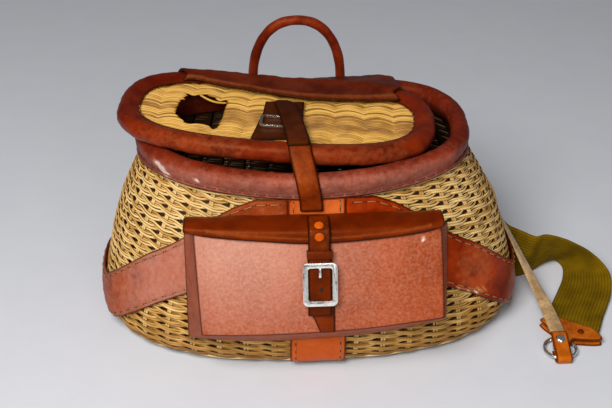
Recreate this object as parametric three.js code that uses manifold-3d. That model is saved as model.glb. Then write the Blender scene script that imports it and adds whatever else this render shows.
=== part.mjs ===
// A wicker fishing creel bag with leather bindings, a front pocket, a carry handle and a shoulder strap.
// Millimetres, +Z up. The origin is the middle of the base, on the surface that the creel stands on,
// and the front faces -Y. A turn is an angle round the basket: 0 is the right side, 90 degrees the back.
import * as THREE from 'three';
import { mergeVertices } from 'three/addons/utils/BufferGeometryUtils.js';
import Module from 'manifold-3d';

const wasm = await Module();
wasm.setup();

// Basket
const BASKET_WIDTH = 400;
const FRONT_DEPTH = 124;
const BACK_DEPTH = 92;
const WALL_HEIGHT = 172;
const WALL = 6;
const BASE = 6;

// Clearances: between pieces that touch, and under leather that lies on the uneven weave
const GAP = 0.3;
const SEAT = 0.7;

// Leather thicknesses
const BAND_THICKNESS = 2.5;
const BINDING_THICKNESS = 2;
const STRAP_THICKNESS = 2.5;
const POCKET_LEATHER = 2.5;
const FLAP_LEATHER = 2.8;

// Rim binding: a padded roll over the wall's top with a flap outside and inside
const RIM_ROLL = 8.5;
const RIM_FLAP = 6;
const RIM_LIFT = 8;

// Lid: its plan is a rounded oblong, turned a little on its soft hinge
const LID_HALF_WIDTH = 146;
const LID_HALF_DEPTH = 76;
const LID_SQUARENESS = 2.7;
const LID_SHIFT = -30;
const LID_BACK = 1.2;
const LID_TURN = -8;
const LID_RISE = 27;
const LID_SLOPE = -0.04;
const LID_DIP = 8;
const LID_WALL = 5;
const LID_ROLL = 9;
const LID_FLANGE = 2.5;

// Hinge band
const HINGE_LEFT = -117;
const HINGE_RIGHT = 86;
const HINGE_DROP = 5;
const HINGE_CLEAR = 1.3;

// Carry handle
const HANDLE_SPAN = 87;
const HANDLE_HEIGHT = 66;
const HANDLE_SHIFT = -7;
const HANDLE_ROLL = 4.8;
const HANDLE_FOOT = 36;
const HANDLE_SQUARENESS = 0.88;
const TAB_WIDTH = 34;
const TAB_HEIGHT = 30;

// Harness bands
const BAND_WIDTH = 49;
const CENTRE_BAND_SHIFT = 1.5;

// Pocket
const POCKET_DEPTH = 28;
const POCKET_FRONT_HALF = 107;
const POCKET_FLARE = 10;
const POCKET_BOW = 8;
const POCKET_SHIFT = 2;
const POCKET_SKEW = 4;
const POCKET_MOUTH = 151.5;
const POCKET_BACK_TOP = 128;
const POCKET_FRONT_FOOT = 64;
const POCKET_BACK_FOOT = 39;
const POCKET_TILT = 0.043;
const FLAP_OVERHANG = 5;
const FLAP_SHIFT = -2;
const FLAP_SEAT = 151.5;
const FLAP_CREST = 3;

// Pocket strap, buckle and tail
const POCKET_STRAP_WIDTH = 18;
const POCKET_STRAP_END = 84;
const STRAP_HOLE = 3;
const HOLE_LIFT = 5;
const HOLE_PITCH = 14;
const BUCKLE_WIDTH = 30;
const BUCKLE_TOP = 131;
const BUCKLE_HEIGHT = 39;
const BUCKLE_BAR = 4.5;
const BUCKLE_DEPTH = 3;
const KEEPER_HEIGHT = 7;
const RIVET_WIDTH = 8.6;
const RIVET_HEIGHT = 2.2;
const TAIL_WIDTH = 23;
const TAIL_TIP = 12;

// Closing strap and the lid's patch
const CLOSING_WIDTH = 19;
const CLOSING_TOP = -12.5;
const CLOSING_FOOT = -3;
const PATCH_THICKNESS = 2;
const WIRE = 2.6;
const LID_BUCKLE_WIDTH = 26;
const LID_BUCKLE_HEIGHT = 21;
const LID_BUCKLE_TURN = -6;

// Shoulder strap
const SHOULDER_WIDTH = 12.5;
const WEBBING_WIDTH = 51;
const WEBBING_THICKNESS = 2.2;
const STRAP_REACH = 100;
const RING_RADIUS = 15;
const RING_WIRE = 1.6;
const WEBBING_START = 104;
const WEBBING_LEAVE = 18;
const TAB_REACH = 24;
const TAB_SPAN = 60;
const TAB_RIVET_WIDTH = 6.5;
const LOOP_REACH = 27;
const LOOP_RISE = 8.8;
const LOOP_RIVET_WIDTH = 9.5;

// Sections of the woven wall from the base up: height as a share of the wall's height, half width as a
// share of half the basket's width, front and back depth as shares of theirs, shift to the side as a
// share of half the width, and how square the outline is at the front and the back
const WALL_SECTIONS = [
  { height: 0, width: 0.88, front: 0.84, back: 0.848, shift: 0, squareFront: 2.5, squareBack: 3 },
  { height: 0.047, width: 0.965, front: 0.952, back: 0.935, shift: 0, squareFront: 2.5, squareBack: 3 },
  { height: 0.163, width: 1, front: 1, back: 0.978, shift: 0, squareFront: 2.4, squareBack: 3 },
  { height: 0.349, width: 0.975, front: 0.968, back: 1, shift: 0, squareFront: 2.3, squareBack: 3 },
  { height: 0.64, width: 0.9, front: 0.871, back: 1, shift: -0.01, squareFront: 2.2, squareBack: 3 },
  { height: 0.93, width: 0.771, front: 0.735, back: 0.948, shift: -0.025, squareFront: 2.1, squareBack: 3 },
  { height: 1, width: 0.7475, front: 0.734, back: 0.957, shift: -0.03, squareFront: 2.1, squareBack: 3 },
];

// How far the rim rises above its lowest place, the front, in shares of RIM_LIFT, by turn in degrees
const RIM_WAVE = [
  { turn: 0, rise: 0.4 },
  { turn: 30, rise: 0.6 },
  { turn: 55, rise: 0.8 },
  { turn: 90, rise: 0.12 },
  { turn: 130, rise: 0.2 },
  { turn: 160, rise: 0.5 },
  { turn: 180, rise: 0.7 },
  { turn: 210, rise: 0.65 },
  { turn: 240, rise: 0.35 },
  { turn: 270, rise: 0 },
  { turn: 320, rise: 0.25 },
  { turn: 360, rise: 0.4 },
];

// Upper and lower edge of each side band in shares of the wall's height, by degrees away from the front
const SIDE_BAND = [
  { away: 9.8, top: 0.96, bottom: 0.69 },
  { away: 20, top: 0.945, bottom: 0.62 },
  { away: 27, top: 0.895, bottom: 0.55 },
  { away: 34, top: 0.82, bottom: 0.47 },
  { away: 40, top: 0.73, bottom: 0.41 },
  { away: 46, top: 0.655, bottom: 0.345 },
  { away: 53, top: 0.58, bottom: 0.255 },
  { away: 60, top: 0.49, bottom: 0.17 },
  { away: 67, top: 0.4, bottom: 0.1 },
  { away: 75, top: 0.315, bottom: 0.065 },
  { away: 84, top: 0.29, bottom: 0.052 },
  { away: 100, top: 0.285, bottom: 0.052 },
  { away: 179.8, top: 0.285, bottom: 0.052 },
];

// The fish hole's ragged outline in shares of the lid's half width and half depth
const FISH_HOLE = [
  { across: -0.585, along: 0.41 },
  { across: -0.5, along: 0.4 },
  { across: -0.335, along: 0.29 },
  { across: -0.34, along: 0.12 },
  { across: -0.345, along: -0.22 },
  { across: -0.36, along: -0.42 },
  { across: -0.49, along: -0.38 },
  { across: -0.6, along: -0.24 },
  { across: -0.625, along: -0.1 },
  { across: -0.61, along: 0.18 },
];

// The hinge band's front edge: share of the way from its left to its right end, and its place as a
// share of the basket's back depth
const HINGE_EDGE = [
  { along: 0, depth: 0.76 },
  { along: 0.12, depth: 0.6 },
  { along: 0.3, depth: 0.47 },
  { along: 0.5, depth: 0.3 },
  { along: 0.7, depth: 0.23 },
  { along: 1, depth: 0.22 },
];

// The flap's lower edge: share of its half width, and how far it drops below its seat at that place
const FLAP_EDGE = [
  { across: -1, drop: -0.6 },
  { across: -0.93, drop: 0.8 },
  { across: -0.8, drop: 2.6 },
  { across: -0.4, drop: 5 },
  { across: -0.12, drop: 6.8 },
  { across: 0.12, drop: 6.8 },
  { across: 0.5, drop: 5.4 },
  { across: 0.84, drop: 3.2 },
  { across: 0.95, drop: 1 },
  { across: 1, drop: -0.6 },
];

// The flap's top from its seat on the wall to the pocket's front edge: share of the way, share of its crest
const FLAP_TOP = [
  { way: 0, rise: 0 },
  { way: 0.25, rise: 0.7 },
  { way: 0.55, rise: 1 },
  { way: 0.82, rise: 0.92 },
  { way: 1, rise: 0.55 },
];

// The webbing beyond the basket's right side: its lower edge, outward from that side and forward as
// shares of STRAP_REACH with its height, and the heading and rise of its width in degrees
const WEBBING_ROUTE = [
  { out: 0.125, forward: -0.14, height: 1.1, heading: -10, rise: 74 },
  { out: 0.29, forward: -0.21, height: 1.1, heading: -39, rise: 76 },
  { out: 0.47, forward: -0.35, height: 1.2, heading: -57, rise: 57 },
  { out: 0.58, forward: -0.39, height: 1.3, heading: -48, rise: 35 },
  { out: 0.64, forward: -0.27, height: 1.4, heading: -38, rise: 15 },
  { out: 0.6, forward: -0.06, height: 1.4, heading: -37, rise: 5 },
  { out: 0.5, forward: 0.16, height: 1.5, heading: -36, rise: 2 },
  { out: 0.41, forward: 0.34, height: 2.2, heading: -35, rise: 1 },
  { out: 0.32, forward: 0.54, height: 3.8, heading: -33, rise: 0.5 },
  { out: 0.235, forward: 0.74, height: 4.7, heading: -33, rise: 0 },
];

// The shoulder strap's middle from where it leaves the basket's side, in the same shares, with its height
// and the tilt of its width in degrees
const SHOULDER_ROUTE = [
  { out: -0.056, forward: -0.36, height: 63, tilt: 62 },
  { out: 0.015, forward: -0.1, height: 54, tilt: 50 },
  { out: 0.172, forward: 0.238, height: 28, tilt: 28 },
  { out: 0.268, forward: 0.55, height: 15, tilt: 8 },
  { out: 0.3, forward: 0.83, height: 11.3, tilt: 0 },
  { out: 0.305, forward: 1, height: 11, tilt: 0 },
  { out: 0.303, forward: 1.07, height: 6.8, tilt: 0 },
  { out: 0.3, forward: 1.12, height: 4.2, tilt: 0 },
];

// The webbing tab's width as a share of TAB_SPAN, by how far it lies behind the fold in shares of TAB_REACH
const TAB_OUTLINE = [
  { back: 0, width: 0.21 },
  { back: 0.21, width: 0.56 },
  { back: 0.5, width: 1 },
  { back: 0.75, width: 0.93 },
  { back: 1, width: 0.6 },
];

// The strap loop's upper layer behind its fold, in shares of LOOP_REACH and LOOP_RISE
const LOOP_TOP = [
  { back: 0.185, rise: 0.31 },
  { back: 0.52, rise: 0.6 },
  { back: 0.74, rise: 0.82 },
  { back: 1, rise: 1 },
];

// The shoulder strap behind the basket: turn in degrees, height as a share of the wall's height
const SHOULDER_BACK = [
  { turn: 62, height: 0.814 },
  { turn: 54, height: 0.779 },
  { turn: 46, height: 0.721 },
  { turn: 36, height: 0.628 },
  { turn: 27, height: 0.523 },
];

// The lid patch's rows from the back to the front: places on the lid in shares of its half depth and half
// width, from its middle
const PATCH_ROWS = [
  { along: 0.274, left: -0.062, right: 0.178 },
  { along: -0.016, left: -0.082, right: 0.164 },
  { along: -0.332, left: -0.123, right: 0.151 },
  { along: -0.595, left: -0.158, right: 0.164 },
  { along: -0.674, left: -0.168, right: 0.176 },
];

// The lid strap's middle from its end to the lid's front, in the same shares: its rise over the patch in
// shares of its rise over the wire buckle, and its width as a share of CLOSING_WIDTH
const LID_STRAP_ROUTE = [
  { along: 0.247, across: 0.041, rise: 0, width: 0.5 },
  { along: 0.208, across: 0.045, rise: 0, width: 0.82 },
  { along: 0.142, across: 0.055, rise: 0.05, width: 1 },
  { along: 0.011, across: 0.066, rise: 0.7, width: 1 },
  { along: -0.121, across: 0.075, rise: 1.08, width: 1 },
  { along: -0.279, across: 0.085, rise: 1.15, width: 1 },
  { along: -0.463, across: 0.095, rise: 1.2, width: 1 },
  { along: -0.647, across: 0.103, rise: 1.6, width: 1 },
];
const LID_BUCKLE_PLACE = { across: -0.02, along: -0.305 };

// Colours and finishes
const FINISHES = {
  willow: { color: 0xd9b25c, roughness: 0.6, metalness: 0 },
  leather: { color: 0xa8401f, roughness: 0.45, metalness: 0 },
  dark_leather: { color: 0x6e2f17, roughness: 0.5, metalness: 0 },
  worn_leather: { color: 0xb5604a, roughness: 0.6, metalness: 0 },
  orange_leather: { color: 0xc4521c, roughness: 0.45, metalness: 0 },
  suede: { color: 0x8f7a66, roughness: 0.9, metalness: 0 },
  webbing: { color: 0x8a7414, roughness: 0.9, metalness: 0 },
  nickel: { color: 0xd8d8cc, roughness: 0.3, metalness: 1 },
};

const creel = new THREE.Group();

function add(name, geometry, finish) {
  const material = new THREE.MeshStandardMaterial(FINISHES[finish]);
  const mesh = new THREE.Mesh(geometry, material);
  mesh.name = name;
  creel.add(mesh);
  return mesh;
}

// Straight-line value between the rows of a table
function lookUp(table, key, value, at) {
  const last = table.length - 1;
  let i = 0;
  while (i < last - 1 && table[i + 1][key] < at) i += 1;
  const span = table[i + 1][key] - table[i][key];
  const share = Math.min(1, Math.max(0, (at - table[i][key]) / span));
  return table[i][value] + share * (table[i + 1][value] - table[i][value]);
}

// Smooth value between the rows of a table, with a slope at each row that its neighbours give
function smoothLookUp(table, key, value, at) {
  const last = table.length - 1;
  const held = Math.min(table[last][key], Math.max(table[0][key], at));
  let i = 0;
  while (i < last - 1 && table[i + 1][key] < held) i += 1;
  const slope = (j) => {
    const a = table[Math.max(0, j - 1)];
    const b = table[Math.min(last, j + 1)];
    return (b[value] - a[value]) / (b[key] - a[key]);
  };
  const span = table[i + 1][key] - table[i][key];
  const s = (held - table[i][key]) / span;
  const rise = table[i + 1][value] - table[i][value];
  const start = slope(i) * span;
  const end = slope(i + 1) * span;
  return table[i][value] + s * start + s * s * (3 * rise - 2 * start - end)
    + s * s * s * (start + end - 2 * rise);
}

// A closed body from points and triangles, turned to face outward
function body(points, faces) {
  const geometry = new THREE.BufferGeometry();
  geometry.setAttribute('position', new THREE.Float32BufferAttribute(points.flatMap((p) => p.toArray()), 3));
  let volume = 0;
  const cross = new THREE.Vector3();
  for (let i = 0; i < faces.length; i += 3) {
    cross.crossVectors(points[faces[i + 1]], points[faces[i + 2]]);
    volume += points[faces[i]].dot(cross);
  }
  geometry.setIndex(volume > 0 ? faces : faces.slice().reverse());
  geometry.computeVertexNormals();
  return geometry;
}

// A plate between two grids of points of the same size
function slab(near, far) {
  const rows = near.length - 1;
  const columns = near[0].length - 1;
  const count = near.length * near[0].length;
  const at = (side, i, j) => side * count + i * near[0].length + j;
  const faces = [];
  const quad = (a, b, c, d) => faces.push(a, b, c, a, c, d);
  for (let i = 0; i < rows; i += 1) {
    for (let j = 0; j < columns; j += 1) {
      quad(at(0, i, j), at(0, i, j + 1), at(0, i + 1, j + 1), at(0, i + 1, j));
      quad(at(1, i, j), at(1, i + 1, j), at(1, i + 1, j + 1), at(1, i, j + 1));
    }
  }
  for (let j = 0; j < columns; j += 1) {
    quad(at(0, 0, j + 1), at(0, 0, j), at(1, 0, j), at(1, 0, j + 1));
    quad(at(0, rows, j), at(0, rows, j + 1), at(1, rows, j + 1), at(1, rows, j));
  }
  for (let i = 0; i < rows; i += 1) {
    quad(at(0, i, 0), at(0, i + 1, 0), at(1, i + 1, 0), at(1, i, 0));
    quad(at(0, i + 1, columns), at(0, i, columns), at(1, i, columns), at(1, i + 1, columns));
  }
  return body([...near.flat(), ...far.flat()], faces);
}

// A grid moved along its own normals, on the side that the sign of the distance gives
function moved(grid, distance) {
  const lastRow = grid.length - 1;
  const lastColumn = grid[0].length - 1;
  return grid.map((row, i) => row.map((point, j) => {
    const along = grid[Math.min(lastRow, i + 1)][j].clone().sub(grid[Math.max(0, i - 1)][j]);
    const across = row[Math.min(lastColumn, j + 1)].clone().sub(row[Math.max(0, j - 1)]);
    return point.clone().add(along.cross(across).normalize().multiplyScalar(distance));
  }));
}

// A ring body: closed sections that follow one another round a closed path
function ring(sections) {
  const around = sections.length;
  const size = sections[0].length;
  const faces = [];
  for (let i = 0; i < around; i += 1) {
    const next = (i + 1) % around;
    for (let j = 0; j < size; j += 1) {
      const k = (j + 1) % size;
      faces.push(i * size + j, next * size + j, next * size + k);
      faces.push(i * size + j, next * size + k, i * size + k);
    }
  }
  return body(sections.flat(), faces);
}

// A body from rings of points stacked one after another, closed by a middle point at each end
function stack(rings, firstMiddle, lastMiddle) {
  const size = rings[0].length;
  const points = [...rings.flat(), firstMiddle, lastMiddle];
  const first = points.length - 2;
  const last = points.length - 1;
  const end = (rings.length - 1) * size;
  const faces = [];
  for (let j = 0; j < size; j += 1) {
    const k = (j + 1) % size;
    faces.push(first, j, k, last, end + k, end + j);
    for (let i = 0; i < rings.length - 1; i += 1) {
      const low = i * size;
      const high = low + size;
      faces.push(low + j, high + j, high + k, low + j, high + k, low + k);
    }
  }
  return body(points, faces);
}

function solidOf(geometry) {
  const bare = geometry.clone();
  bare.deleteAttribute('normal');
  bare.deleteAttribute('uv');
  const merged = mergeVertices(bare, 1e-4);
  return new wasm.Manifold(new wasm.Mesh({
    numProp: 3,
    vertProperties: new Float32Array(merged.attributes.position.array),
    triVerts: new Uint32Array(merged.index.array),
  }));
}

function cut(geometry, tools) {
  let solid = solidOf(geometry);
  for (const tool of tools) solid = solid.subtract(solidOf(tool));
  const mesh = solid.getMesh();
  const result = new THREE.BufferGeometry();
  result.setAttribute('position', new THREE.Float32BufferAttribute(mesh.vertProperties, 3));
  result.setIndex(Array.from(mesh.triVerts));
  result.computeVertexNormals();
  return result;
}

const degrees = (angle) => THREE.MathUtils.degToRad(angle);
const range = (count, make) => Array.from({ length: count }, (_, i) => make(i));
const spread = (from, to, count) => range(count, (i) => from + ((to - from) * i) / (count - 1));

// The rounded oblong: a point at a turn, and the way out of it
function oblong(turn, half, front, back, squareFront, squareBack) {
  const c = Math.cos(turn);
  const s = Math.sin(turn);
  const square = s < 0 ? squareFront : squareBack;
  const depth = s < 0 ? front : back;
  const size = (Math.abs(c) ** square + Math.abs(s) ** square) ** (-1 / square);
  const out = new THREE.Vector2(
    (Math.sign(c) * Math.abs(c * size) ** (square - 1)) / half,
    (Math.sign(s) * Math.abs(s * size) ** (square - 1)) / depth,
  ).normalize();
  return { x: half * c * size, y: depth * s * size, out };
}

function wallSection(z) {
  const share = Math.min(1, Math.max(0, z / WALL_HEIGHT));
  const read = (value) => smoothLookUp(WALL_SECTIONS, 'height', value, share);
  return {
    half: (read('width') * BASKET_WIDTH) / 2,
    front: read('front') * FRONT_DEPTH,
    back: read('back') * BACK_DEPTH,
    shift: (read('shift') * BASKET_WIDTH) / 2,
    squareFront: read('squareFront'),
    squareBack: read('squareBack'),
  };
}

function rimRise(turn) {
  const whole = (THREE.MathUtils.radToDeg(turn) + 720) % 360;
  return RIM_LIFT * smoothLookUp(RIM_WAVE, 'turn', 'rise', whole);
}

// A point on the woven wall's outside at a turn and a height, moved outward
function wallPoint(turn, z, out) {
  const s = wallSection(z);
  const p = oblong(turn, s.half, s.front, s.back, s.squareFront, s.squareBack);
  const rise = rimRise(turn) * Math.min(1, z / WALL_HEIGHT) ** 4;
  return new THREE.Vector3(s.shift + p.x + p.out.x * out, p.y + p.out.y * out, z + rise);
}

// The turn at which the wall's front or back has a given x
function frontTurn(x, z) {
  const s = wallSection(z);
  const u = THREE.MathUtils.clamp((x - s.shift) / s.half, -1, 1);
  return Math.atan2(-((1 - Math.abs(u) ** s.squareFront) ** (1 / s.squareFront)), u);
}

function backTurn(x, z) {
  const s = wallSection(z);
  const u = THREE.MathUtils.clamp((x - s.shift) / s.half, -1, 1);
  return Math.atan2((1 - Math.abs(u) ** s.squareBack) ** (1 / s.squareBack), u);
}

const frontPoint = (x, z, out) => wallPoint(frontTurn(x, z), z, out);

// Basket
const AROUND = 48;
const LEVELS = [0, 0.047, 0.1, 0.163, 0.24, 0.349, 0.49, 0.64, 0.79, 0.93, 1];

function basketShell() {
  const ringAt = (z, out) => range(AROUND, (i) => wallPoint((2 * Math.PI * i) / AROUND, z, out));
  const outside = LEVELS.map((share) => ringAt(share * WALL_HEIGHT, 0));
  const inner = [1, 0.8, 0.6, 0.4, 0.18, BASE / WALL_HEIGHT];
  const inside = inner.map((share) => ringAt(share * WALL_HEIGHT, -WALL));
  return stack([...outside, ...inside], new THREE.Vector3(0, 0, 0), new THREE.Vector3(0, 0, BASE));
}

// The rim roll's middle lies over the wall's middle
const rimMiddleOut = -WALL / 2;
const rimMiddleHeight = WALL_HEIGHT + RIM_ROLL - 0.5;

function rimBinding() {
  const outer = SEAT + BINDING_THICKNESS;
  const inner = -WALL - SEAT;
  const arc = spread(-20, 200, 8).map((angle) => [
    rimMiddleOut + RIM_ROLL * Math.cos(degrees(angle)),
    rimMiddleHeight + RIM_ROLL * Math.sin(degrees(angle)),
  ]);
  const section = [
    [SEAT, WALL_HEIGHT - RIM_FLAP],
    [outer, WALL_HEIGHT - RIM_FLAP],
    [outer + 0.8, WALL_HEIGHT + 1],
    ...arc,
    [inner - BINDING_THICKNESS, WALL_HEIGHT + 1],
    [inner - BINDING_THICKNESS, WALL_HEIGHT - RIM_FLAP],
    [inner, WALL_HEIGHT - RIM_FLAP],
    [inner, WALL_HEIGHT + GAP],
    [SEAT, WALL_HEIGHT + GAP],
  ];
  const sections = range(AROUND, (i) => {
    const turn = (2 * Math.PI * i) / AROUND;
    return section.map(([out, z]) => wallPoint(turn, z, out));
  });
  return ring(sections);
}

// Lid
const lidHeight = WALL_HEIGHT + LID_RISE;

function lidPoint(across, along, up) {
  const turn = degrees(LID_TURN);
  const back = Math.max(0, along / LID_HALF_DEPTH);
  const dip = LID_DIP * back * back * (1 - 2 * (across / LID_HALF_WIDTH) ** 2);
  return new THREE.Vector3(
    LID_SHIFT + across * Math.cos(turn) - along * Math.sin(turn),
    LID_BACK + across * Math.sin(turn) + along * Math.cos(turn),
    lidHeight + LID_SLOPE * across - dip + up,
  );
}

// The lid's surface over a place on the ground
function lidPointAt(x, y, up) {
  const turn = degrees(LID_TURN);
  const dx = x - LID_SHIFT;
  const dy = y - LID_BACK;
  return lidPoint(dx * Math.cos(turn) + dy * Math.sin(turn), dy * Math.cos(turn) - dx * Math.sin(turn), up);
}

// The same for a place in shares of the lid's half width and half depth from its middle
const lidPlace = (across, along, up) => lidPointAt(LID_SHIFT + across * LID_HALF_WIDTH,
  LID_BACK + along * LID_HALF_DEPTH, up);

// A point of the lid at a turn round its outline, moved inward and up
function lidEdge(turn, inset, up) {
  const half = LID_HALF_WIDTH - inset;
  const depth = LID_HALF_DEPTH - inset;
  const p = oblong(turn, half, depth, depth, LID_SQUARENESS, LID_SQUARENESS);
  return lidPoint(p.x, p.y, up);
}

const LID_AROUND = 44;
const LID_SLOT = 6;
const LID_LIP = 11;

function lidPanel() {
  const edge = LID_ROLL + LID_SLOT / 2 + GAP;
  const ringAt = (share, up) => range(LID_AROUND, (i) => {
    const depth = LID_HALF_DEPTH - edge;
    const p = oblong((2 * Math.PI * i) / LID_AROUND, LID_HALF_WIDTH - edge, depth, depth, LID_SQUARENESS,
      LID_SQUARENESS);
    return lidPoint(p.x * share, p.y * share, up);
  });
  const shares = [0.45, 0.8, 1];
  const top = shares.map((share) => ringAt(share, LID_WALL / 2));
  const bottom = shares.slice().reverse().map((share) => ringAt(share, -LID_WALL / 2));
  const plate = stack([...top, ...bottom], lidPoint(0, 0, LID_WALL / 2), lidPoint(0, 0, -LID_WALL / 2));
  const outline = FISH_HOLE.map((p) => ({
    across: p.across * LID_HALF_WIDTH,
    along: p.along * LID_HALF_DEPTH,
  }));
  const floor = outline.map((p) => lidPoint(p.across, p.along, -3 * LID_WALL));
  const roof = outline.map((p) => lidPoint(p.across, p.along, 3 * LID_WALL));
  const middle = (up) => lidPoint((outline[0].across + outline[5].across) / 2, 0, up);
  return cut(plate, [stack([floor, roof], middle(-3 * LID_WALL), middle(3 * LID_WALL))]);
}

function lidBinding() {
  const half = LID_WALL / 2 + 1.5 * GAP;
  const lip = half + LID_FLANGE - 0.5;
  const arc = spread(-112, 112, 7).map((angle) => [
    LID_ROLL * Math.cos(degrees(angle)),
    LID_ROLL * Math.sin(degrees(angle)),
  ]);
  const section = [
    [-LID_SLOT / 2, half],
    [-LID_SLOT / 2, -half],
    [-LID_LIP, -half],
    [-LID_LIP, -lip],
    ...arc,
    [-LID_LIP, lip],
    [-LID_LIP, half],
  ];
  const sections = range(LID_AROUND, (i) => {
    const turn = (2 * Math.PI * i) / LID_AROUND;
    return section.map(([out, up]) => lidEdge(turn, LID_ROLL - out, up));
  });
  return ring(sections);
}

// The turn round the lid at which its roll's middle has a given x, at the back or the front
function lidTurnAt(x, back) {
  let low = 0;
  let high = Math.PI;
  for (let step = 0; step < 40; step += 1) {
    const middle = (low + high) / 2;
    if (lidEdge(back ? middle : -middle, LID_ROLL, 0).x > x) low = middle;
    else high = middle;
  }
  return back ? low : -low;
}

// Hinge band: from the lid over its roll, on to the rim's roll and down behind it
function hingeBand() {
  const stations = spread(0, 1, 13);
  const clear = HINGE_CLEAR;
  const grid = stations.map((share) => {
    const x = HINGE_LEFT + share * (HINGE_RIGHT - HINGE_LEFT);
    const start = BACK_DEPTH * lookUp(HINGE_EDGE, 'along', 'depth', share);
    const lid = lidTurnAt(x, true);
    const wall = backTurn(x, WALL_HEIGHT);
    const lidRadius = LID_ROLL + clear;
    const rimRadius = RIM_ROLL + clear;
    const overLid = (angle) => lidEdge(lid, LID_ROLL - lidRadius * Math.cos(angle),
      lidRadius * Math.sin(angle));
    const overRim = (angle) => wallPoint(wall, rimMiddleHeight + rimRadius * Math.sin(angle),
      rimMiddleOut + rimRadius * Math.cos(angle));
    const from = overLid(Math.PI / 2);
    const to = overRim(Math.PI / 2);
    const run = Math.hypot(to.x - from.x, to.y - from.y);
    const tangent = Math.PI / 2 + Math.atan2(to.z - from.z, to.y > from.y ? run : 1);
    const leave = Math.min(degrees(100), Math.max(degrees(12), tangent));
    const first = overLid(Math.max(leave, degrees(118)));
    const edge = lidPointAt(x, Math.min(start, first.y - 6), LID_WALL / 2 + LID_FLANGE + 4 * GAP);
    return [
      edge,
      edge.clone().lerp(first, 0.5),
      first,
      overLid((Math.max(leave, degrees(118)) + leave) / 2),
      overLid(leave),
      overRim(leave),
      overRim(leave / 2),
      overRim(0),
      wallPoint(wall, WALL_HEIGHT + 2, SEAT + BINDING_THICKNESS + clear + 1),
      wallPoint(wall, WALL_HEIGHT - HINGE_DROP, SEAT + BINDING_THICKNESS + clear),
    ];
  });
  return slab(grid, moved(grid, BAND_THICKNESS));
}

// Carry handle: a rolled loop whose feet run down behind the hinge band
const handleOut = SEAT + BINDING_THICKNESS + BAND_THICKNESS + 5 * GAP + HANDLE_ROLL + 2;
const handleBack = BACK_DEPTH * 0.957 + handleOut;
const handleFootHeight = WALL_HEIGHT - HANDLE_FOOT;

function carryHandle() {
  const half = HANDLE_SPAN / 2;
  const shoulder = WALL_HEIGHT + 12;
  const arch = spread(0, 180, 13).map((angle) => {
    const c = Math.cos(degrees(angle));
    const s = Math.sin(degrees(angle));
    const x = HANDLE_SHIFT - half * Math.sign(c) * Math.abs(c) ** HANDLE_SQUARENESS;
    return new THREE.Vector3(x, handleBack, shoulder + HANDLE_HEIGHT * s ** HANDLE_SQUARENESS);
  });
  const foot = (side) => {
    const x = HANDLE_SHIFT + side * half;
    const seat = wallPoint(backTurn(x, handleFootHeight), handleFootHeight, SEAT + HANDLE_ROLL);
    const hang = new THREE.Vector3(x, handleBack, WALL_HEIGHT - 8);
    return [hang, new THREE.Vector3(x, seat.y, handleFootHeight)];
  };
  const left = foot(-1);
  const right = foot(1);
  const path = new THREE.CatmullRomCurve3([left[1], left[0], ...arch, right[0], right[1]]);
  const section = new THREE.Shape();
  section.absarc(0, 0, HANDLE_ROLL, 0, 2 * Math.PI);
  return new THREE.ExtrudeGeometry(section, {
    steps: 24,
    extrudePath: path,
    curveSegments: 4,
    bevelEnabled: false,
  });
}

// A leather tab over a foot of the handle: flat wings on the wall with a bulge between them
function handleTab(side) {
  const x = HANDLE_SHIFT + (side * HANDLE_SPAN) / 2;
  const reach = HANDLE_ROLL + 2 * GAP;
  const rightHalf = [reach * 0.6, reach, reach + 2, TAB_WIDTH / 2];
  const offsets = [...rightHalf.map((dx) => -dx).reverse(), 0, ...rightHalf];
  const low = handleFootHeight - 8;
  const heights = [low, ...spread(handleFootHeight - 4, low + TAB_HEIGHT, 4)];
  const grid = heights.map((z) => offsets.map((dx) => {
    const wall = wallPoint(backTurn(x + dx, z), z, SEAT);
    const loopY = z === low ? -Infinity : tubeBack(x, z);
    const inside = Math.abs(dx) <= reach;
    const bulge = inside ? loopY + Math.sqrt(Math.max(0, reach * reach - dx * dx)) : -Infinity;
    return new THREE.Vector3(x + dx, Math.max(wall.y, bulge), wall.z);
  }));
  return slab(grid, moved(grid, BINDING_THICKNESS));
}

// Where the handle's foot lies behind the wall at a height
function tubeBack(x, z) {
  const seat = wallPoint(backTurn(x, handleFootHeight), handleFootHeight, SEAT + HANDLE_ROLL).y;
  const share = Math.min(1, Math.max(0, (z - handleFootHeight) / (HANDLE_FOOT - 8)));
  return seat + share * (handleBack - seat) + 1.2;
}

// Harness bands on the woven wall
function sideBand(side) {
  const first = SIDE_BAND[0].away;
  const last = SIDE_BAND[SIDE_BAND.length - 1].away;
  const step = 360 / AROUND;
  const turns = [first];
  for (let away = 2 * step; away < last; away += step) turns.push(away);
  turns.push(last);
  const edge = CENTRE_BAND_SHIFT + side * (BAND_WIDTH / 2 + 3 * GAP);
  const grid = (out) => turns.map((away) => {
    const top = lookUp(SIDE_BAND, 'away', 'top', away) * WALL_HEIGHT;
    const bottom = lookUp(SIDE_BAND, 'away', 'bottom', away) * WALL_HEIGHT;
    return spread(bottom, top, 6).map((z) => {
      const turn = away === first ? frontTurn(edge, z) : degrees(-90 + side * away);
      return wallPoint(turn, z, out);
    });
  });
  return slab(grid(SEAT), grid(SEAT + BAND_THICKNESS));
}

function centreBand() {
  const half = BAND_WIDTH / 2;
  const edges = spread(CENTRE_BAND_SHIFT - half, CENTRE_BAND_SHIFT + half, 5);
  const heights = [0.052, 0.1, 0.16, 0.25, 0.35, 0.5, 0.65, 0.8, 0.9, 0.96];
  const grid = (out) => heights.map((share) => edges.map((x) => frontPoint(x, share * WALL_HEIGHT, out)));
  return slab(grid(SEAT), grid(SEAT + BAND_THICKNESS));
}

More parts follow.
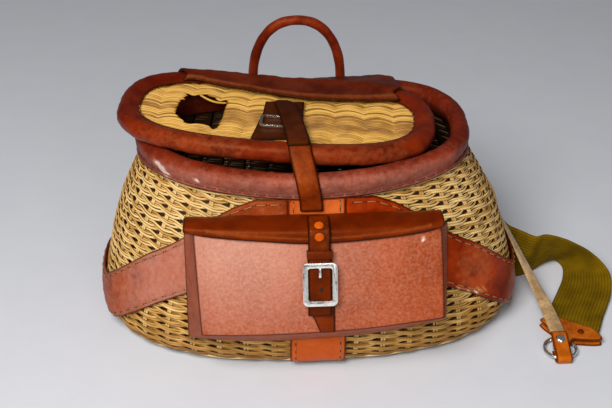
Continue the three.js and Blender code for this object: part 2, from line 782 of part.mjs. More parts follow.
// Pocket
const pocketBackOut = SEAT + BAND_THICKNESS + SEAT + GAP;
const pocketBackHalf = POCKET_FRONT_HALF + POCKET_FLARE;
const flapHalf = POCKET_FRONT_HALF + FLAP_OVERHANG;
// The flap's back edge is straight, and touches the wall's round only near the middle
const flapBack = frontPoint(POCKET_SHIFT, FLAP_SEAT, pocketBackOut + 2 * GAP).y;

// The pocket's front panel: a share across it, a height, and how far in front of it
function pocketFront(across, z, ahead) {
  const rise = (z - POCKET_FRONT_FOOT) / (POCKET_MOUTH - POCKET_FRONT_FOOT);
  const middle = POCKET_SHIFT + POCKET_SKEW * (0.75 - rise);
  const depth = wallSection(z).front + pocketBackOut + POCKET_DEPTH - POCKET_BOW * across * across;
  return new THREE.Vector3(middle + across * POCKET_FRONT_HALF, -depth - ahead, z);
}

function pocketBlock(inset, lift) {
  const acrossBack = (pocketBackHalf - 1.6 * inset) / pocketBackHalf;
  const acrossFront = (POCKET_FRONT_HALF - 1.3 * inset) / POCKET_FRONT_HALF;
  const back = spread(0, 1, 6).map((up) => spread(-acrossBack, acrossBack, 13).map((across) => {
    const x = POCKET_SHIFT + across * pocketBackHalf;
    const foot = POCKET_BACK_FOOT + POCKET_TILT * x + 1.6 * inset;
    return frontPoint(x, foot + up * (POCKET_BACK_TOP + lift - foot), pocketBackOut + inset);
  }));
  const front = spread(0, 1, 6).map((up) => spread(-acrossFront, acrossFront, 13).map((across) => {
    const foot = POCKET_FRONT_FOOT + POCKET_TILT * across * POCKET_FRONT_HALF + 1.3 * inset;
    return pocketFront(across, foot + up * (POCKET_MOUTH + lift - foot), -inset);
  }));
  return slab(back, front);
}

const pocketBody = () => cut(pocketBlock(0, 0), [pocketBlock(POCKET_LEATHER, 4 * POCKET_LEATHER)]);

function pocketFlap() {
  const stations = [-1, -0.93, -0.8, -0.6, -0.4, -0.25, -0.12, 0, 0.12, 0.25, 0.5, 0.68, 0.84, 0.95, 1];
  const grid = stations.map((across) => {
    const x = FLAP_SHIFT + across * flapHalf;
    const panel = (x - POCKET_SHIFT + POCKET_SKEW / 4) / POCKET_FRONT_HALF;
    const ahead = 3 * GAP;
    const corner = pocketFront(panel, POCKET_MOUTH, ahead);
    const low = FLAP_SEAT - lookUp(FLAP_EDGE, 'across', 'drop', across);
    const top = FLAP_TOP.map((p) => new THREE.Vector3(x, flapBack + p.way * (corner.y - flapBack),
      FLAP_SEAT + FLAP_CREST * p.rise));
    const bend = top[top.length - 1].z;
    const front = [0.5, 1].map((share) => {
      const z = bend + share * (low - bend);
      return new THREE.Vector3(x, pocketFront(panel, Math.min(z, POCKET_MOUTH), ahead).y, z);
    });
    return [...top, ...front];
  });
  return slab(grid, moved(grid, -FLAP_LEATHER));
}

// The pocket strap hangs from the flap's crest over the pocket's front
const strapMiddle = CENTRE_BAND_SHIFT;
const strapAhead = FLAP_LEATHER + 5 * GAP;
const bucklePlane = strapAhead + STRAP_THICKNESS + 0.4;

// A flat piece on the pocket's front: rows of height, middle and half width
function frontPatch(rows, ahead, thickness) {
  const grid = (out) => rows.map((row) => [-1, 0, 1].map((side) => {
    const x = row.middle + side * row.half;
    return pocketFront((x - POCKET_SHIFT) / POCKET_FRONT_HALF, row.z, out).setX(x);
  }));
  return slab(grid(ahead), grid(ahead + thickness));
}

// The strap's underside from the crest down to its end
function strapPath() {
  const over = (way, up, lean) => {
    const corner = pocketFront((strapMiddle - POCKET_SHIFT) / POCKET_FRONT_HALF, POCKET_MOUTH, 3 * GAP);
    const lift = FLAP_LEATHER + 2 * GAP;
    return new THREE.Vector3(0, flapBack + way * (corner.y - flapBack) - lift * lean,
      FLAP_SEAT + FLAP_CREST * up + lift * (1 - lean * lean * 0.25));
  };
  const top = [over(0.42, 1, 0), over(0.62, 1, 0.1), over(0.86, 0.9, 0.26), over(1.02, 0.55, 0.74)];
  const hang = spread(FLAP_SEAT - 2, POCKET_STRAP_END, 8).map((z) => {
    const p = pocketFront((strapMiddle - POCKET_SHIFT) / POCKET_FRONT_HALF, z, strapAhead);
    return new THREE.Vector3(0, p.y, p.z);
  });
  return [...top, ...hang];
}

function pocketStrap() {
  const half = POCKET_STRAP_WIDTH / 2;
  const across = (p) => [-half, 0, half].map((dx) => new THREE.Vector3(strapMiddle + dx, p.y, p.z));
  const grid = strapPath().map(across);
  const strap = slab(grid, moved(grid, STRAP_THICKNESS));
  const holes = range(3, (i) => {
    const z = BUCKLE_TOP + HOLE_LIFT - i * HOLE_PITCH;
    const hole = new THREE.CylinderGeometry(STRAP_HOLE / 2, STRAP_HOLE / 2, 6 * STRAP_THICKNESS, 8);
    const p = pocketFront(0, z, strapAhead);
    return hole.translate(strapMiddle, p.y, p.z);
  });
  return cut(strap, holes);
}

// A rivet: a low domed cap that stands a gap off a place and faces a direction
function rivet(width, place, facing) {
  const radius = width / 2;
  const profile = [
    [0, 0],
    [radius * 0.94, 0],
    [radius, RIVET_HEIGHT * 0.3],
    [radius * 0.7, RIVET_HEIGHT * 0.85],
    [0, RIVET_HEIGHT],
  ].map(([x, y]) => new THREE.Vector2(x, y));
  const out = facing.clone().normalize();
  const turn = new THREE.Quaternion().setFromUnitVectors(new THREE.Vector3(0, 1, 0), out);
  const seat = place.clone().addScaledVector(out, GAP);
  return new THREE.LatheGeometry(profile, 12).applyQuaternion(turn).translate(seat.x, seat.y, seat.z);
}

// A rivet on the pocket strap, a share of the way down one of its lengths over the flap
function strapRivet(length, share) {
  const path = strapPath();
  const along = path[length + 1].clone().sub(path[length]);
  const out = new THREE.Vector3(0, along.z, -along.y).normalize();
  const place = path[length].clone().addScaledVector(along, share).addScaledVector(out, STRAP_THICKNESS);
  return rivet(RIVET_WIDTH, place.setX(strapMiddle), out);
}

// How the pocket's front leans: its outward way in the middle at a height
function frontNormal(z) {
  const low = pocketFront(0, z - 5, 0);
  const high = pocketFront(0, z + 5, 0);
  return new THREE.Vector3(0, -(high.z - low.z), high.y - low.y).normalize();
}

function roundedFrame(width, height, bar, corner) {
  const outline = (w, h, r) => {
    const shape = new THREE.Shape();
    shape.absarc(w / 2 - r, h / 2 - r, r, 0, Math.PI / 2);
    shape.absarc(-w / 2 + r, h / 2 - r, r, Math.PI / 2, Math.PI);
    shape.absarc(-w / 2 + r, -h / 2 + r, r, Math.PI, 1.5 * Math.PI);
    shape.absarc(w / 2 - r, -h / 2 + r, r, 1.5 * Math.PI, 2 * Math.PI);
    return shape;
  };
  const shape = outline(width, height, corner);
  shape.holes.push(outline(width - 2 * bar, height - 2 * bar, Math.max(0.4, corner - bar * 0.6)));
  return shape;
}

// Stands a flat shape drawn in x and z against the pocket's front with its middle at a height
function standOnFront(geometry, z, ahead) {
  const out = frontNormal(z);
  const up = new THREE.Vector3(0, -out.z, out.y).multiplyScalar(-1);
  const basis = new THREE.Matrix4().makeBasis(new THREE.Vector3(1, 0, 0), up, out);
  const place = pocketFront((strapMiddle - POCKET_SHIFT) / POCKET_FRONT_HALF, z, 0).setX(strapMiddle);
  place.add(out.clone().multiplyScalar(ahead));
  return geometry.applyMatrix4(basis.setPosition(place));
}

function pocketBuckle() {
  const shape = roundedFrame(BUCKLE_WIDTH, BUCKLE_HEIGHT, BUCKLE_BAR, 5);
  const frame = new THREE.ExtrudeGeometry(shape, {
    depth: BUCKLE_DEPTH,
    curveSegments: 4,
    bevelEnabled: false,
  });
  return standOnFront(frame, BUCKLE_TOP - BUCKLE_HEIGHT / 2, bucklePlane);
}

function buckleTongue() {
  const length = 9;
  const tongue = new THREE.BoxGeometry(2, length, 1.6);
  tongue.translate(0, BUCKLE_HEIGHT / 2 - BUCKLE_BAR - GAP - length / 2, 0.9);
  return standOnFront(tongue, BUCKLE_TOP - BUCKLE_HEIGHT / 2, bucklePlane);
}

function strapKeeper() {
  const width = POCKET_STRAP_WIDTH + 2 * GAP;
  const wall = 1.8;
  const inner = { half: width / 2, near: -STRAP_THICKNESS - 0.4 - 3 * GAP - 1, far: 2 * GAP - 0.4 };
  const shape = new THREE.Shape();
  shape.moveTo(-inner.half - wall, inner.near);
  shape.lineTo(inner.half + wall, inner.near);
  shape.lineTo(inner.half + wall, inner.far + wall);
  shape.lineTo(-inner.half - wall, inner.far + wall);
  shape.closePath();
  const hole = new THREE.Path();
  hole.moveTo(-inner.half, inner.near + 1);
  hole.lineTo(inner.half, inner.near + 1);
  hole.lineTo(inner.half, inner.far);
  hole.lineTo(-inner.half, inner.far);
  hole.closePath();
  shape.holes.push(hole);
  const keeper = new THREE.ExtrudeGeometry(shape, { depth: KEEPER_HEIGHT, bevelEnabled: false });
  keeper.rotateX(Math.PI / 2);
  keeper.translate(0, KEEPER_HEIGHT / 2, 0);
  return keeper;
}

function pocketTail() {
  const foot = POCKET_FRONT_FOOT + 1.5;
  const right = strapMiddle + TAIL_WIDTH / 2 + 1;
  const rows = spread(BUCKLE_TOP - 6, foot, 9).map((z) => {
    const start = BUCKLE_TOP - BUCKLE_HEIGHT;
    const share = Math.min(1, Math.max(0, (start - z) / (start - foot)));
    const width = z > start ? POCKET_STRAP_WIDTH : TAIL_WIDTH + share * (TAIL_TIP - TAIL_WIDTH);
    const middle = z > start ? strapMiddle : right - width / 2;
    return { z, middle, half: width / 2 };
  });
  return frontPatch(rows, GAP, 2);
}

// Lid patch, lid strap and its wire buckle
const patchTop = LID_WALL / 2 + GAP + PATCH_THICKNESS;

function lidPatch() {
  const grid = (up) => PATCH_ROWS.map((row) => spread(row.left, row.right, 4).map((across) => lidPlace(across,
    row.along, up)));
  return slab(grid(patchTop - PATCH_THICKNESS), grid(patchTop));
}

function lidStrap() {
  const half = CLOSING_WIDTH / 2 / LID_HALF_WIDTH;
  const rows = LID_STRAP_ROUTE.map((p) => {
    const up = patchTop + 1.3 * GAP + p.rise * (WIRE + 2 * GAP);
    return [-1, 0, 1].map((way) => lidPlace(p.across + way * half * p.width, p.along, up));
  });
  const turn = lidTurnAt(CLOSING_TOP - 1, false);
  const radius = LID_ROLL + STRAP_THICKNESS + 6 * GAP;
  const arc = [108, 84, 62].map((angle) => [-1, 0, 1].map((way) => {
    const p = lidEdge(turn, LID_ROLL - radius * Math.cos(degrees(angle)), radius * Math.sin(degrees(angle)));
    return p.add(new THREE.Vector3((way * CLOSING_WIDTH) / 2, 0, 0));
  }));
  const grid = [...rows, ...arc];
  return slab(grid, moved(grid, STRAP_THICKNESS));
}

// From under the lid strap over the lid's roll, over the rim's roll and down in front of the rim's flap
function closingStrap() {
  const lidRadius = LID_ROLL + 4 * GAP;
  const rimRadius = RIM_ROLL + 2 * GAP;
  const lidTurn = lidTurnAt(CLOSING_TOP, false);
  const over = [118, 90, 68, 48].map(degrees).map((angle) => lidEdge(lidTurn,
    LID_ROLL - lidRadius * Math.cos(angle), lidRadius * Math.sin(angle)));
  const wallAt = (share, z, out) => frontPoint(CLOSING_TOP + share * (CLOSING_FOOT - CLOSING_TOP), z, out);
  const round = [42, 20, 0].map((angle) => wallAt(0.58 + (42 - angle) / 300,
    rimMiddleHeight + rimRadius * Math.sin(degrees(angle)),
    rimMiddleOut + rimRadius * Math.cos(degrees(angle))));
  const flapOut = SEAT + BINDING_THICKNESS + 8 * GAP;
  const down = [
    wallAt(0.84, WALL_HEIGHT + 1, flapOut + 0.8),
    wallAt(0.94, WALL_HEIGHT - RIM_FLAP, flapOut),
    wallAt(1, FLAP_SEAT + FLAP_LEATHER + 2.6, flapOut - 0.6),
  ];
  const path = [...over, ...round, ...down];
  const sideways = (way) => new THREE.Vector3((way * CLOSING_WIDTH) / 2, 0, 0);
  const grid = path.map((p) => [-1, 0, 1].map((way) => p.clone().add(sideways(way))));
  return slab(grid, moved(grid, STRAP_THICKNESS));
}

function lidBuckle() {
  const frame = new THREE.ExtrudeGeometry(roundedFrame(LID_BUCKLE_WIDTH, LID_BUCKLE_HEIGHT, WIRE, 4.5), {
    depth: WIRE,
    curveSegments: 3,
    bevelEnabled: false,
  });
  frame.rotateZ(degrees(LID_BUCKLE_TURN));
  const place = lidPlace(LID_BUCKLE_PLACE.across, LID_BUCKLE_PLACE.along, patchTop + 2 * GAP);
  return frame.rotateY(Math.atan(-LID_SLOPE)).translate(place.x, place.y, place.z);
}

// Shoulder strap and webbing lie beyond the basket's right side
const side = BASKET_WIDTH / 2;

// A smooth list of places through the rows of a route
function follow(points, steps) {
  const curve = new THREE.CatmullRomCurve3(points);
  return range(steps + 1, (i) => curve.getPoint(i / steps));
}

function webbing() {
  const out = SEAT + BAND_THICKNESS + 4 * GAP + WEBBING_THICKNESS;
  const widest = WALL_SECTIONS[2].height * WALL_HEIGHT;
  const hidden = spread(WEBBING_START, WEBBING_LEAVE, 8).map((turn) => wallPoint(degrees(turn), widest, out));
  const low = [
    ...hidden.map((p) => new THREE.Vector3(p.x, p.y, WEBBING_THICKNESS / 2)),
    ...WEBBING_ROUTE.map((p) => new THREE.Vector3(side + p.out * STRAP_REACH,
      -p.forward * STRAP_REACH, p.height)),
  ];
  const widths = [
    ...hidden.map(() => new THREE.Vector3(0, 0, 1)),
    ...WEBBING_ROUTE.map((p) => new THREE.Vector3(
      Math.cos(degrees(p.rise)) * Math.cos(degrees(p.heading)),
      Math.cos(degrees(p.rise)) * Math.sin(degrees(p.heading)),
      Math.sin(degrees(p.rise)),
    )),
  ];
  const steps = 38;
  const edge = follow(low, steps);
  const across = follow(widths, steps).map((w) => w.normalize().multiplyScalar(WEBBING_WIDTH));
  const grid = edge.map((p, i) => [0, 0.5, 1].map((share) => p.clone().addScaledVector(across[i], share)));
  return slab(moved(grid, -WEBBING_THICKNESS / 2), moved(grid, WEBBING_THICKNESS / 2));
}

const STRAP_STEPS = 34;

function shoulderStrap() {
  const out = SEAT + BAND_THICKNESS + 4 * GAP;
  const behind = SHOULDER_BACK.map((p) => wallPoint(degrees(p.turn), p.height * WALL_HEIGHT, out));
  const open = SHOULDER_ROUTE.map((p) => new THREE.Vector3(side + p.out * STRAP_REACH,
    -p.forward * STRAP_REACH, p.height));
  const middle = follow([...behind, ...open], STRAP_STEPS);
  const tilts = [...SHOULDER_BACK.map(() => 78), ...SHOULDER_ROUTE.map((p) => p.tilt)];
  const tilt = follow(tilts.map((t) => new THREE.Vector3(t, 0, 0)), STRAP_STEPS).map((p) => p.x);
  const grid = middle.map((p, i) => {
    const run = middle[Math.min(STRAP_STEPS, i + 1)].clone().sub(middle[Math.max(0, i - 1)]);
    const ahead = run.clone().setZ(0).normalize();
    const flat = new THREE.Vector3(-ahead.y, ahead.x, 0);
    const width = flat.multiplyScalar(Math.cos(degrees(tilt[i])));
    width.z -= Math.sin(degrees(tilt[i]));
    const along = run.normalize();
    width.addScaledVector(along, -width.dot(along)).normalize();
    return [-0.5, 0, 0.5].map((share) => p.clone().addScaledVector(width, share * SHOULDER_WIDTH));
  });
  return slab(moved(grid, -STRAP_THICKNESS / 2), moved(grid, STRAP_THICKNESS / 2));
}

// The ring lies just off the surface; each half of the strap is folded round it
const ringHeight = RING_WIRE + STRAP_THICKNESS + 2 * GAP;
const ringX = side + 0.3 * STRAP_REACH;
const ringY = -1.1 * STRAP_REACH;

function linkRing() {
  return new THREE.TorusGeometry(RING_RADIUS, RING_WIRE, 6, 24).translate(ringX, ringY, ringHeight);
}

// A leather fold round the ring's wire, in its own frame: y runs from the fold back along the strap
function fold(layers, widthAt, bent) {
  const path = layers.map(([y, z]) => new THREE.Vector3(0, y, z));
  const grid = path.map((p) => {
    const half = widthAt(p.y) / 2;
    return [-1, -0.4, 0.4, 1].map((share) => {
      const x = share * half;
      const sag = bent && p.y <= 0 ? RING_RADIUS - Math.sqrt(RING_RADIUS * RING_RADIUS - x * x) : 0;
      return new THREE.Vector3(x, p.y - sag, p.z);
    });
  });
  return slab(grid, moved(grid, -STRAP_THICKNESS));
}

function foldPath(lowEnd, highEnd) {
  const turn = spread(-90, -270, 7).map((angle) => [
    (RING_WIRE + 2 * GAP) * Math.cos(degrees(angle)),
    ringHeight + (RING_WIRE + GAP) * Math.sin(degrees(angle)),
  ]);
  return [...lowEnd, ...turn, ...highEnd];
}

const loopLayer = LOOP_TOP.map((p) => [p.back * LOOP_REACH, ringHeight + p.rise * LOOP_RISE]);

function strapLoop() {
  const low = LOOP_TOP.slice(0, 2).reverse().map((p) => [p.back * LOOP_REACH, ringHeight - RING_WIRE - GAP]);
  const loop = fold(foldPath(low, loopLayer), () => SHOULDER_WIDTH + 1.5, false);
  return loop.translate(ringX, ringY - RING_RADIUS, 0);
}

// The loop's rivet sits on its upper layer between the second and third row
function loopRivet() {
  const [near, far] = loopLayer.slice(1, 3).map(([y, z]) => {
    return new THREE.Vector3(ringX, ringY - RING_RADIUS + y, z);
  });
  const out = new THREE.Vector3(0, near.z - far.z, far.y - near.y).normalize();
  return rivet(LOOP_RIVET_WIDTH, near.lerp(far, 0.7).addScaledVector(out, STRAP_THICKNESS), out);
}

const tabHeading = degrees(-33);
const tabOut = new THREE.Vector3(-Math.sin(tabHeading), Math.cos(tabHeading), 0);
const tabTop = ringHeight + RING_WIRE + GAP;

function webbingTab() {
  const reach = TAB_OUTLINE.slice(1).map((p) => p.back * TAB_REACH);
  const low = reach.slice().reverse().map((y) => [y, ringHeight - RING_WIRE - GAP]);
  const high = reach.map((y) => [y, tabTop]);
  const widthAt = (y) => TAB_SPAN * lookUp(TAB_OUTLINE, 'back', 'width', y / TAB_REACH);
  const tab = fold(foldPath(low, high), widthAt, true).rotateZ(tabHeading);
  return tab.translate(ringX + tabOut.x * RING_RADIUS, ringY + tabOut.y * RING_RADIUS, 0);
}

function tabRivet() {
  const back = RING_RADIUS + TAB_REACH / 2;
  const right = new THREE.Vector3(tabOut.y, -tabOut.x, 0);
  const place = new THREE.Vector3(ringX, ringY, tabTop + STRAP_THICKNESS).addScaledVector(tabOut, back);
  return rivet(TAB_RIVET_WIDTH, place.addScaledVector(right, TAB_SPAN / 6), new THREE.Vector3(0, 0, 1));
}

add('basket_shell', basketShell(), 'willow');
add('rim_binding', rimBinding(), 'leather');
add('lid_panel', lidPanel(), 'willow');
add('lid_binding', lidBinding(), 'leather');
add('hinge_band', hingeBand(), 'dark_leather');
add('lid_patch', lidPatch(), 'dark_leather');
add('lid_strap', lidStrap(), 'dark_leather');
add('lid_buckle', lidBuckle(), 'nickel');
add('closing_strap', closingStrap(), 'leather');
add('carry_handle', carryHandle(), 'leather');
add('handle_tab_left', handleTab(-1), 'leather');
add('handle_tab_right', handleTab(1), 'leather');
add('side_band_left', sideBand(-1), 'leather');
add('side_band_right', sideBand(1), 'leather');
add('centre_band', centreBand(), 'leather');
add('pocket_body', pocketBody(), 'worn_leather');
add('pocket_flap', pocketFlap(), 'dark_leather');
add('pocket_strap', pocketStrap(), 'orange_leather');
add('strap_rivet_upper', strapRivet(2, 0.3), 'orange_leather');
add('strap_rivet_lower', strapRivet(3, 0.55), 'orange_leather');
add('pocket_buckle', pocketBuckle(), 'nickel');
add('buckle_tongue', buckleTongue(), 'nickel');
add('strap_keeper', standOnFront(strapKeeper(), BUCKLE_TOP + KEEPER_HEIGHT / 2 + 1,
  bucklePlane), 'orange_leather');
add('pocket_tail', pocketTail(), 'leather');
add('shoulder_strap', shoulderStrap(), 'suede');
add('webbing', webbing(), 'webbing');
add('link_ring', linkRing(), 'nickel');
add('strap_loop', strapLoop(), 'orange_leather');
add('loop_rivet', loopRivet(), 'nickel');
add('webbing_tab', webbingTab(), 'orange_leather');
add('tab_rivet', tabRivet(), 'leather');

export default creel;
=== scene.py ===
"""Dresses a packed fishing creel in woven willow, worn leather, cotton webbing and nickel.

Shapes are worked out in millimetres in the part's own frame: the origin is the middle of the base, the
front faces -Y and +Z is up. They turn to metres where a mesh is made. A turn is an angle round the basket
in degrees: 0 is the right side and 90 the back.
"""

import functools
import logging
import math
from dataclasses import dataclass, field
from enum import Enum
from typing import Callable, NamedTuple, Sequence

import bpy
import numpy as np
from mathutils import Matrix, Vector


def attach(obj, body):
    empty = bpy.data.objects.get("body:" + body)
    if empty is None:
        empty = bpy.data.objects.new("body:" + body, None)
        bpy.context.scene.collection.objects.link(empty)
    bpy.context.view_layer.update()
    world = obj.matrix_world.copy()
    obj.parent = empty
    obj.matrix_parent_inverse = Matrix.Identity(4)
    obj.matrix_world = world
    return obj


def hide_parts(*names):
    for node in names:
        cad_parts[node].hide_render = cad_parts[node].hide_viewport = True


log = logging.getLogger("creel")

MM = 0.001
GAP = 0.3
SEAT = 0.7
BAND_THICKNESS = 2.5
BINDING_THICKNESS = 2.0
STRAP_THICKNESS = 2.5


# Reading tables


class WallRow(NamedTuple):
    """A section of the woven wall: shares of the wall's height, half width and depths, and squareness."""

    height: float
    width: float
    front: float
    back: float
    shift: float
    square_front: float
    square_back: float


class TurnRow(NamedTuple):
    """How far the rim rises at a turn, as a share of its lift."""

    turn: float
    rise: float


class BandRow(NamedTuple):
    """Upper and lower edge of a side band in shares of the wall's height, by degrees from the front."""

    away: float
    top: float
    bottom: float


class PlaceRow(NamedTuple):
    """A place on the lid in shares of its half width and half depth."""

    across: float
    along: float


class EdgeRow(NamedTuple):
    """A value at a share of the way along an edge."""

    along: float
    depth: float


class StrapRow(NamedTuple):
    """A place on a strap's way over the lid: its rise over the patch and its share of the full width."""

    along: float
    across: float
    rise: float
    width: float


class RouteRow(NamedTuple):
    """A place on a strap beyond the basket: shares of its reach, a height, and its width's direction."""

    out: float
    forward: float
    height: float
    heading: float
    rise: float


WALL_ROWS = (
    WallRow(0, 0.88, 0.84, 0.848, 0, 2.5, 3),
    WallRow(0.047, 0.965, 0.952, 0.935, 0, 2.5, 3),
    WallRow(0.163, 1, 1, 0.978, 0, 2.4, 3),
    WallRow(0.349, 0.975, 0.968, 1, 0, 2.3, 3),
    WallRow(0.64, 0.9, 0.871, 1, -0.01, 2.2, 3),
    WallRow(0.93, 0.771, 0.735, 0.948, -0.025, 2.1, 3),
    WallRow(1, 0.7475, 0.734, 0.957, -0.03, 2.1, 3),
)

RIM_WAVE = (
    TurnRow(0, 0.4),
    TurnRow(30, 0.6),
    TurnRow(55, 0.8),
    TurnRow(90, 0.12),
    TurnRow(130, 0.2),
    TurnRow(160, 0.5),
    TurnRow(180, 0.7),
    TurnRow(210, 0.65),
    TurnRow(240, 0.35),
    TurnRow(270, 0),
    TurnRow(320, 0.25),
    TurnRow(360, 0.4),
)

SIDE_BAND_ROWS = (
    BandRow(9.8, 0.96, 0.69),
    BandRow(20, 0.945, 0.62),
    BandRow(27, 0.895, 0.55),
    BandRow(34, 0.82, 0.47),
    BandRow(40, 0.73, 0.41),
    BandRow(46, 0.655, 0.345),
    BandRow(53, 0.58, 0.255),
    BandRow(60, 0.49, 0.17),
    BandRow(67, 0.4, 0.1),
    BandRow(75, 0.315, 0.065),
    BandRow(84, 0.29, 0.052),
    BandRow(100, 0.285, 0.052),
    BandRow(179.8, 0.285, 0.052),
)

FISH_HOLE = (
    PlaceRow(-0.585, 0.41),
    PlaceRow(-0.5, 0.4),
    PlaceRow(-0.335, 0.29),
    PlaceRow(-0.34, 0.12),
    PlaceRow(-0.345, -0.22),
    PlaceRow(-0.36, -0.42),
    PlaceRow(-0.49, -0.38),
    PlaceRow(-0.6, -0.24),
    PlaceRow(-0.625, -0.1),
    PlaceRow(-0.61, 0.18),
)

HINGE_EDGE = (
    EdgeRow(0, 0.76),
    EdgeRow(0.12, 0.6),
    EdgeRow(0.3, 0.47),
    EdgeRow(0.5, 0.3),
    EdgeRow(0.7, 0.23),
    EdgeRow(1, 0.22),
)

FLAP_EDGE = (
    EdgeRow(-1, -0.6),
    EdgeRow(-0.97, 0),
    EdgeRow(-0.93, 0.8),
    EdgeRow(-0.8, 2.6),
    EdgeRow(-0.4, 5),
    EdgeRow(-0.12, 6.8),
    EdgeRow(0.12, 6.8),
    EdgeRow(0.5, 5.4),
    EdgeRow(0.84, 3.2),
    EdgeRow(0.95, 1),
    EdgeRow(1, -0.6),
)

FLAP_TOP = (
    EdgeRow(0, 0),
    EdgeRow(0.25, 0.7),
    EdgeRow(0.55, 1),
    EdgeRow(0.82, 0.92),
    EdgeRow(1, 0.55),
)

LID_STRAP_ROUTE = (
    StrapRow(0.247, 0.041, 0, 0.5),
    StrapRow(0.208, 0.045, 0, 0.82),
    StrapRow(0.142, 0.055, 0.05, 1),
    StrapRow(0.011, 0.066, 0.7, 1),
    StrapRow(-0.121, 0.075, 1.08, 1),
    StrapRow(-0.279, 0.085, 1.15, 1),
    StrapRow(-0.463, 0.095, 1.2, 1),
    StrapRow(-0.647, 0.103, 1.6, 1),
)

WEBBING_ROUTE = (
    RouteRow(0.125, -0.14, 1.1, -10, 74),
    RouteRow(0.29, -0.21, 1.1, -39, 76),
    RouteRow(0.47, -0.35, 1.2, -57, 57),
    RouteRow(0.58, -0.39, 1.3, -48, 35),
    RouteRow(0.64, -0.27, 1.4, -38, 15),
    RouteRow(0.6, -0.06, 1.4, -37, 5),
    RouteRow(0.5, 0.16, 1.5, -36, 2),
    RouteRow(0.41, 0.34, 2.2, -35, 1),
    RouteRow(0.32, 0.54, 3.8, -33, 0.5),
    RouteRow(0.235, 0.74, 4.7, -33, 0),
)

SHOULDER_ROUTE = (
    RouteRow(-0.056, -0.36, 63, 0, 62),
    RouteRow(0.015, -0.1, 54, 0, 50),
    RouteRow(0.172, 0.238, 28, 0, 28),
    RouteRow(0.268, 0.55, 15, 0, 8),
    RouteRow(0.3, 0.83, 11.3, 0, 0),
    RouteRow(0.305, 1, 11, 0, 0),
    RouteRow(0.303, 1.07, 6.8, 0, 0),
    RouteRow(0.3, 1.12, 3.9, 0, 0),
)


def columns(rows: Sequence[NamedTuple], key: str, value: str) -> tuple[np.ndarray, np.ndarray]:
    """Two columns of a table as arrays.

    Args:
        rows: The table.
        key: Name of the column to look up by.
        value: Name of the column to read.

    Returns:
        The key column and the value column.
    """
    keys = np.array([getattr(row, key) for row in rows], float)
    values = np.array([getattr(row, value) for row in rows], float)
    return keys, values


def read_smooth(rows: Sequence[NamedTuple], key: str, value: str, at: np.ndarray) -> np.ndarray:
    """Reads a table smoothly, with a slope at each row that its neighbours give.

    Args:
        rows: The table.
        key: Name of the column to look up by.
        value: Name of the column to read.
        at: Where to read.

    Returns:
        One value for each place.
    """
    keys, values = columns(rows, key, value)
    held = np.clip(np.asarray(at, float), keys[0], keys[-1])
    slopes = np.empty_like(values)
    slopes[1:-1] = (values[2:] - values[:-2]) / (keys[2:] - keys[:-2])
    slopes[0] = (values[1] - values[0]) / (keys[1] - keys[0])
    slopes[-1] = (values[-1] - values[-2]) / (keys[-1] - keys[-2])
    i = np.clip(np.searchsorted(keys, held, side="left") - 1, 0, len(keys) - 2)
    span = keys[i + 1] - keys[i]
    s = (held - keys[i]) / span
    rise = values[i + 1] - values[i]
    start = slopes[i] * span
    end = slopes[i + 1] * span
    return values[i] + s * start + s * s * (3 * rise - 2 * start - end) + s**3 * (start + end - 2 * rise)


def read_straight(rows: Sequence[NamedTuple], key: str, value: str, at: np.ndarray) -> np.ndarray:
    """Reads a table with straight lines between its rows.

    Args:
        rows: The table.
        key: Name of the column to look up by.
        value: Name of the column to read.
        at: Where to read.

    Returns:
        One value for each place.
    """
    keys, values = columns(rows, key, value)
    return np.interp(at, keys, values)


# Shapes that the pieces follow


def stacked(x: np.ndarray, y: np.ndarray, z: np.ndarray) -> np.ndarray:
    """Three coordinate arrays as one array of points."""
    return np.stack(np.broadcast_arrays(x, y, z), axis=-1).astype(float)


def unit(vectors: np.ndarray) -> np.ndarray:
    """Vectors scaled to length 1."""
    return vectors / np.maximum(np.linalg.norm(vectors, axis=-1, keepdims=True), 1e-9)


def oblong(turn: np.ndarray, half: np.ndarray, front: np.ndarray, back: np.ndarray, square_front: np.ndarray,
        square_back: np.ndarray) -> tuple[np.ndarray, np.ndarray, np.ndarray, np.ndarray]:
    """A rounded oblong in plan.

    Args:
        turn: Angle in degrees.
        half: Half width.
        front: Depth in front of the middle.
        back: Depth behind the middle.
        square_front: How square the front is, from 2 for an ellipse.
        square_back: How square the back is.

    Returns:
        x, y, and the x and y of the way out.
    """
    c = np.cos(np.radians(turn))
    s = np.sin(np.radians(turn))
    square = np.where(s < 0, square_front, square_back)
    depth = np.where(s < 0, front, back)
    size = (np.abs(c) ** square + np.abs(s) ** square) ** (-1 / square)
    out_x = np.sign(c) * np.abs(c * size) ** (square - 1) / half
    out_y = np.sign(s) * np.abs(s * size) ** (square - 1) / depth
    length = np.hypot(out_x, out_y)
    return half * c * size, depth * s * size, out_x / length, out_y / length


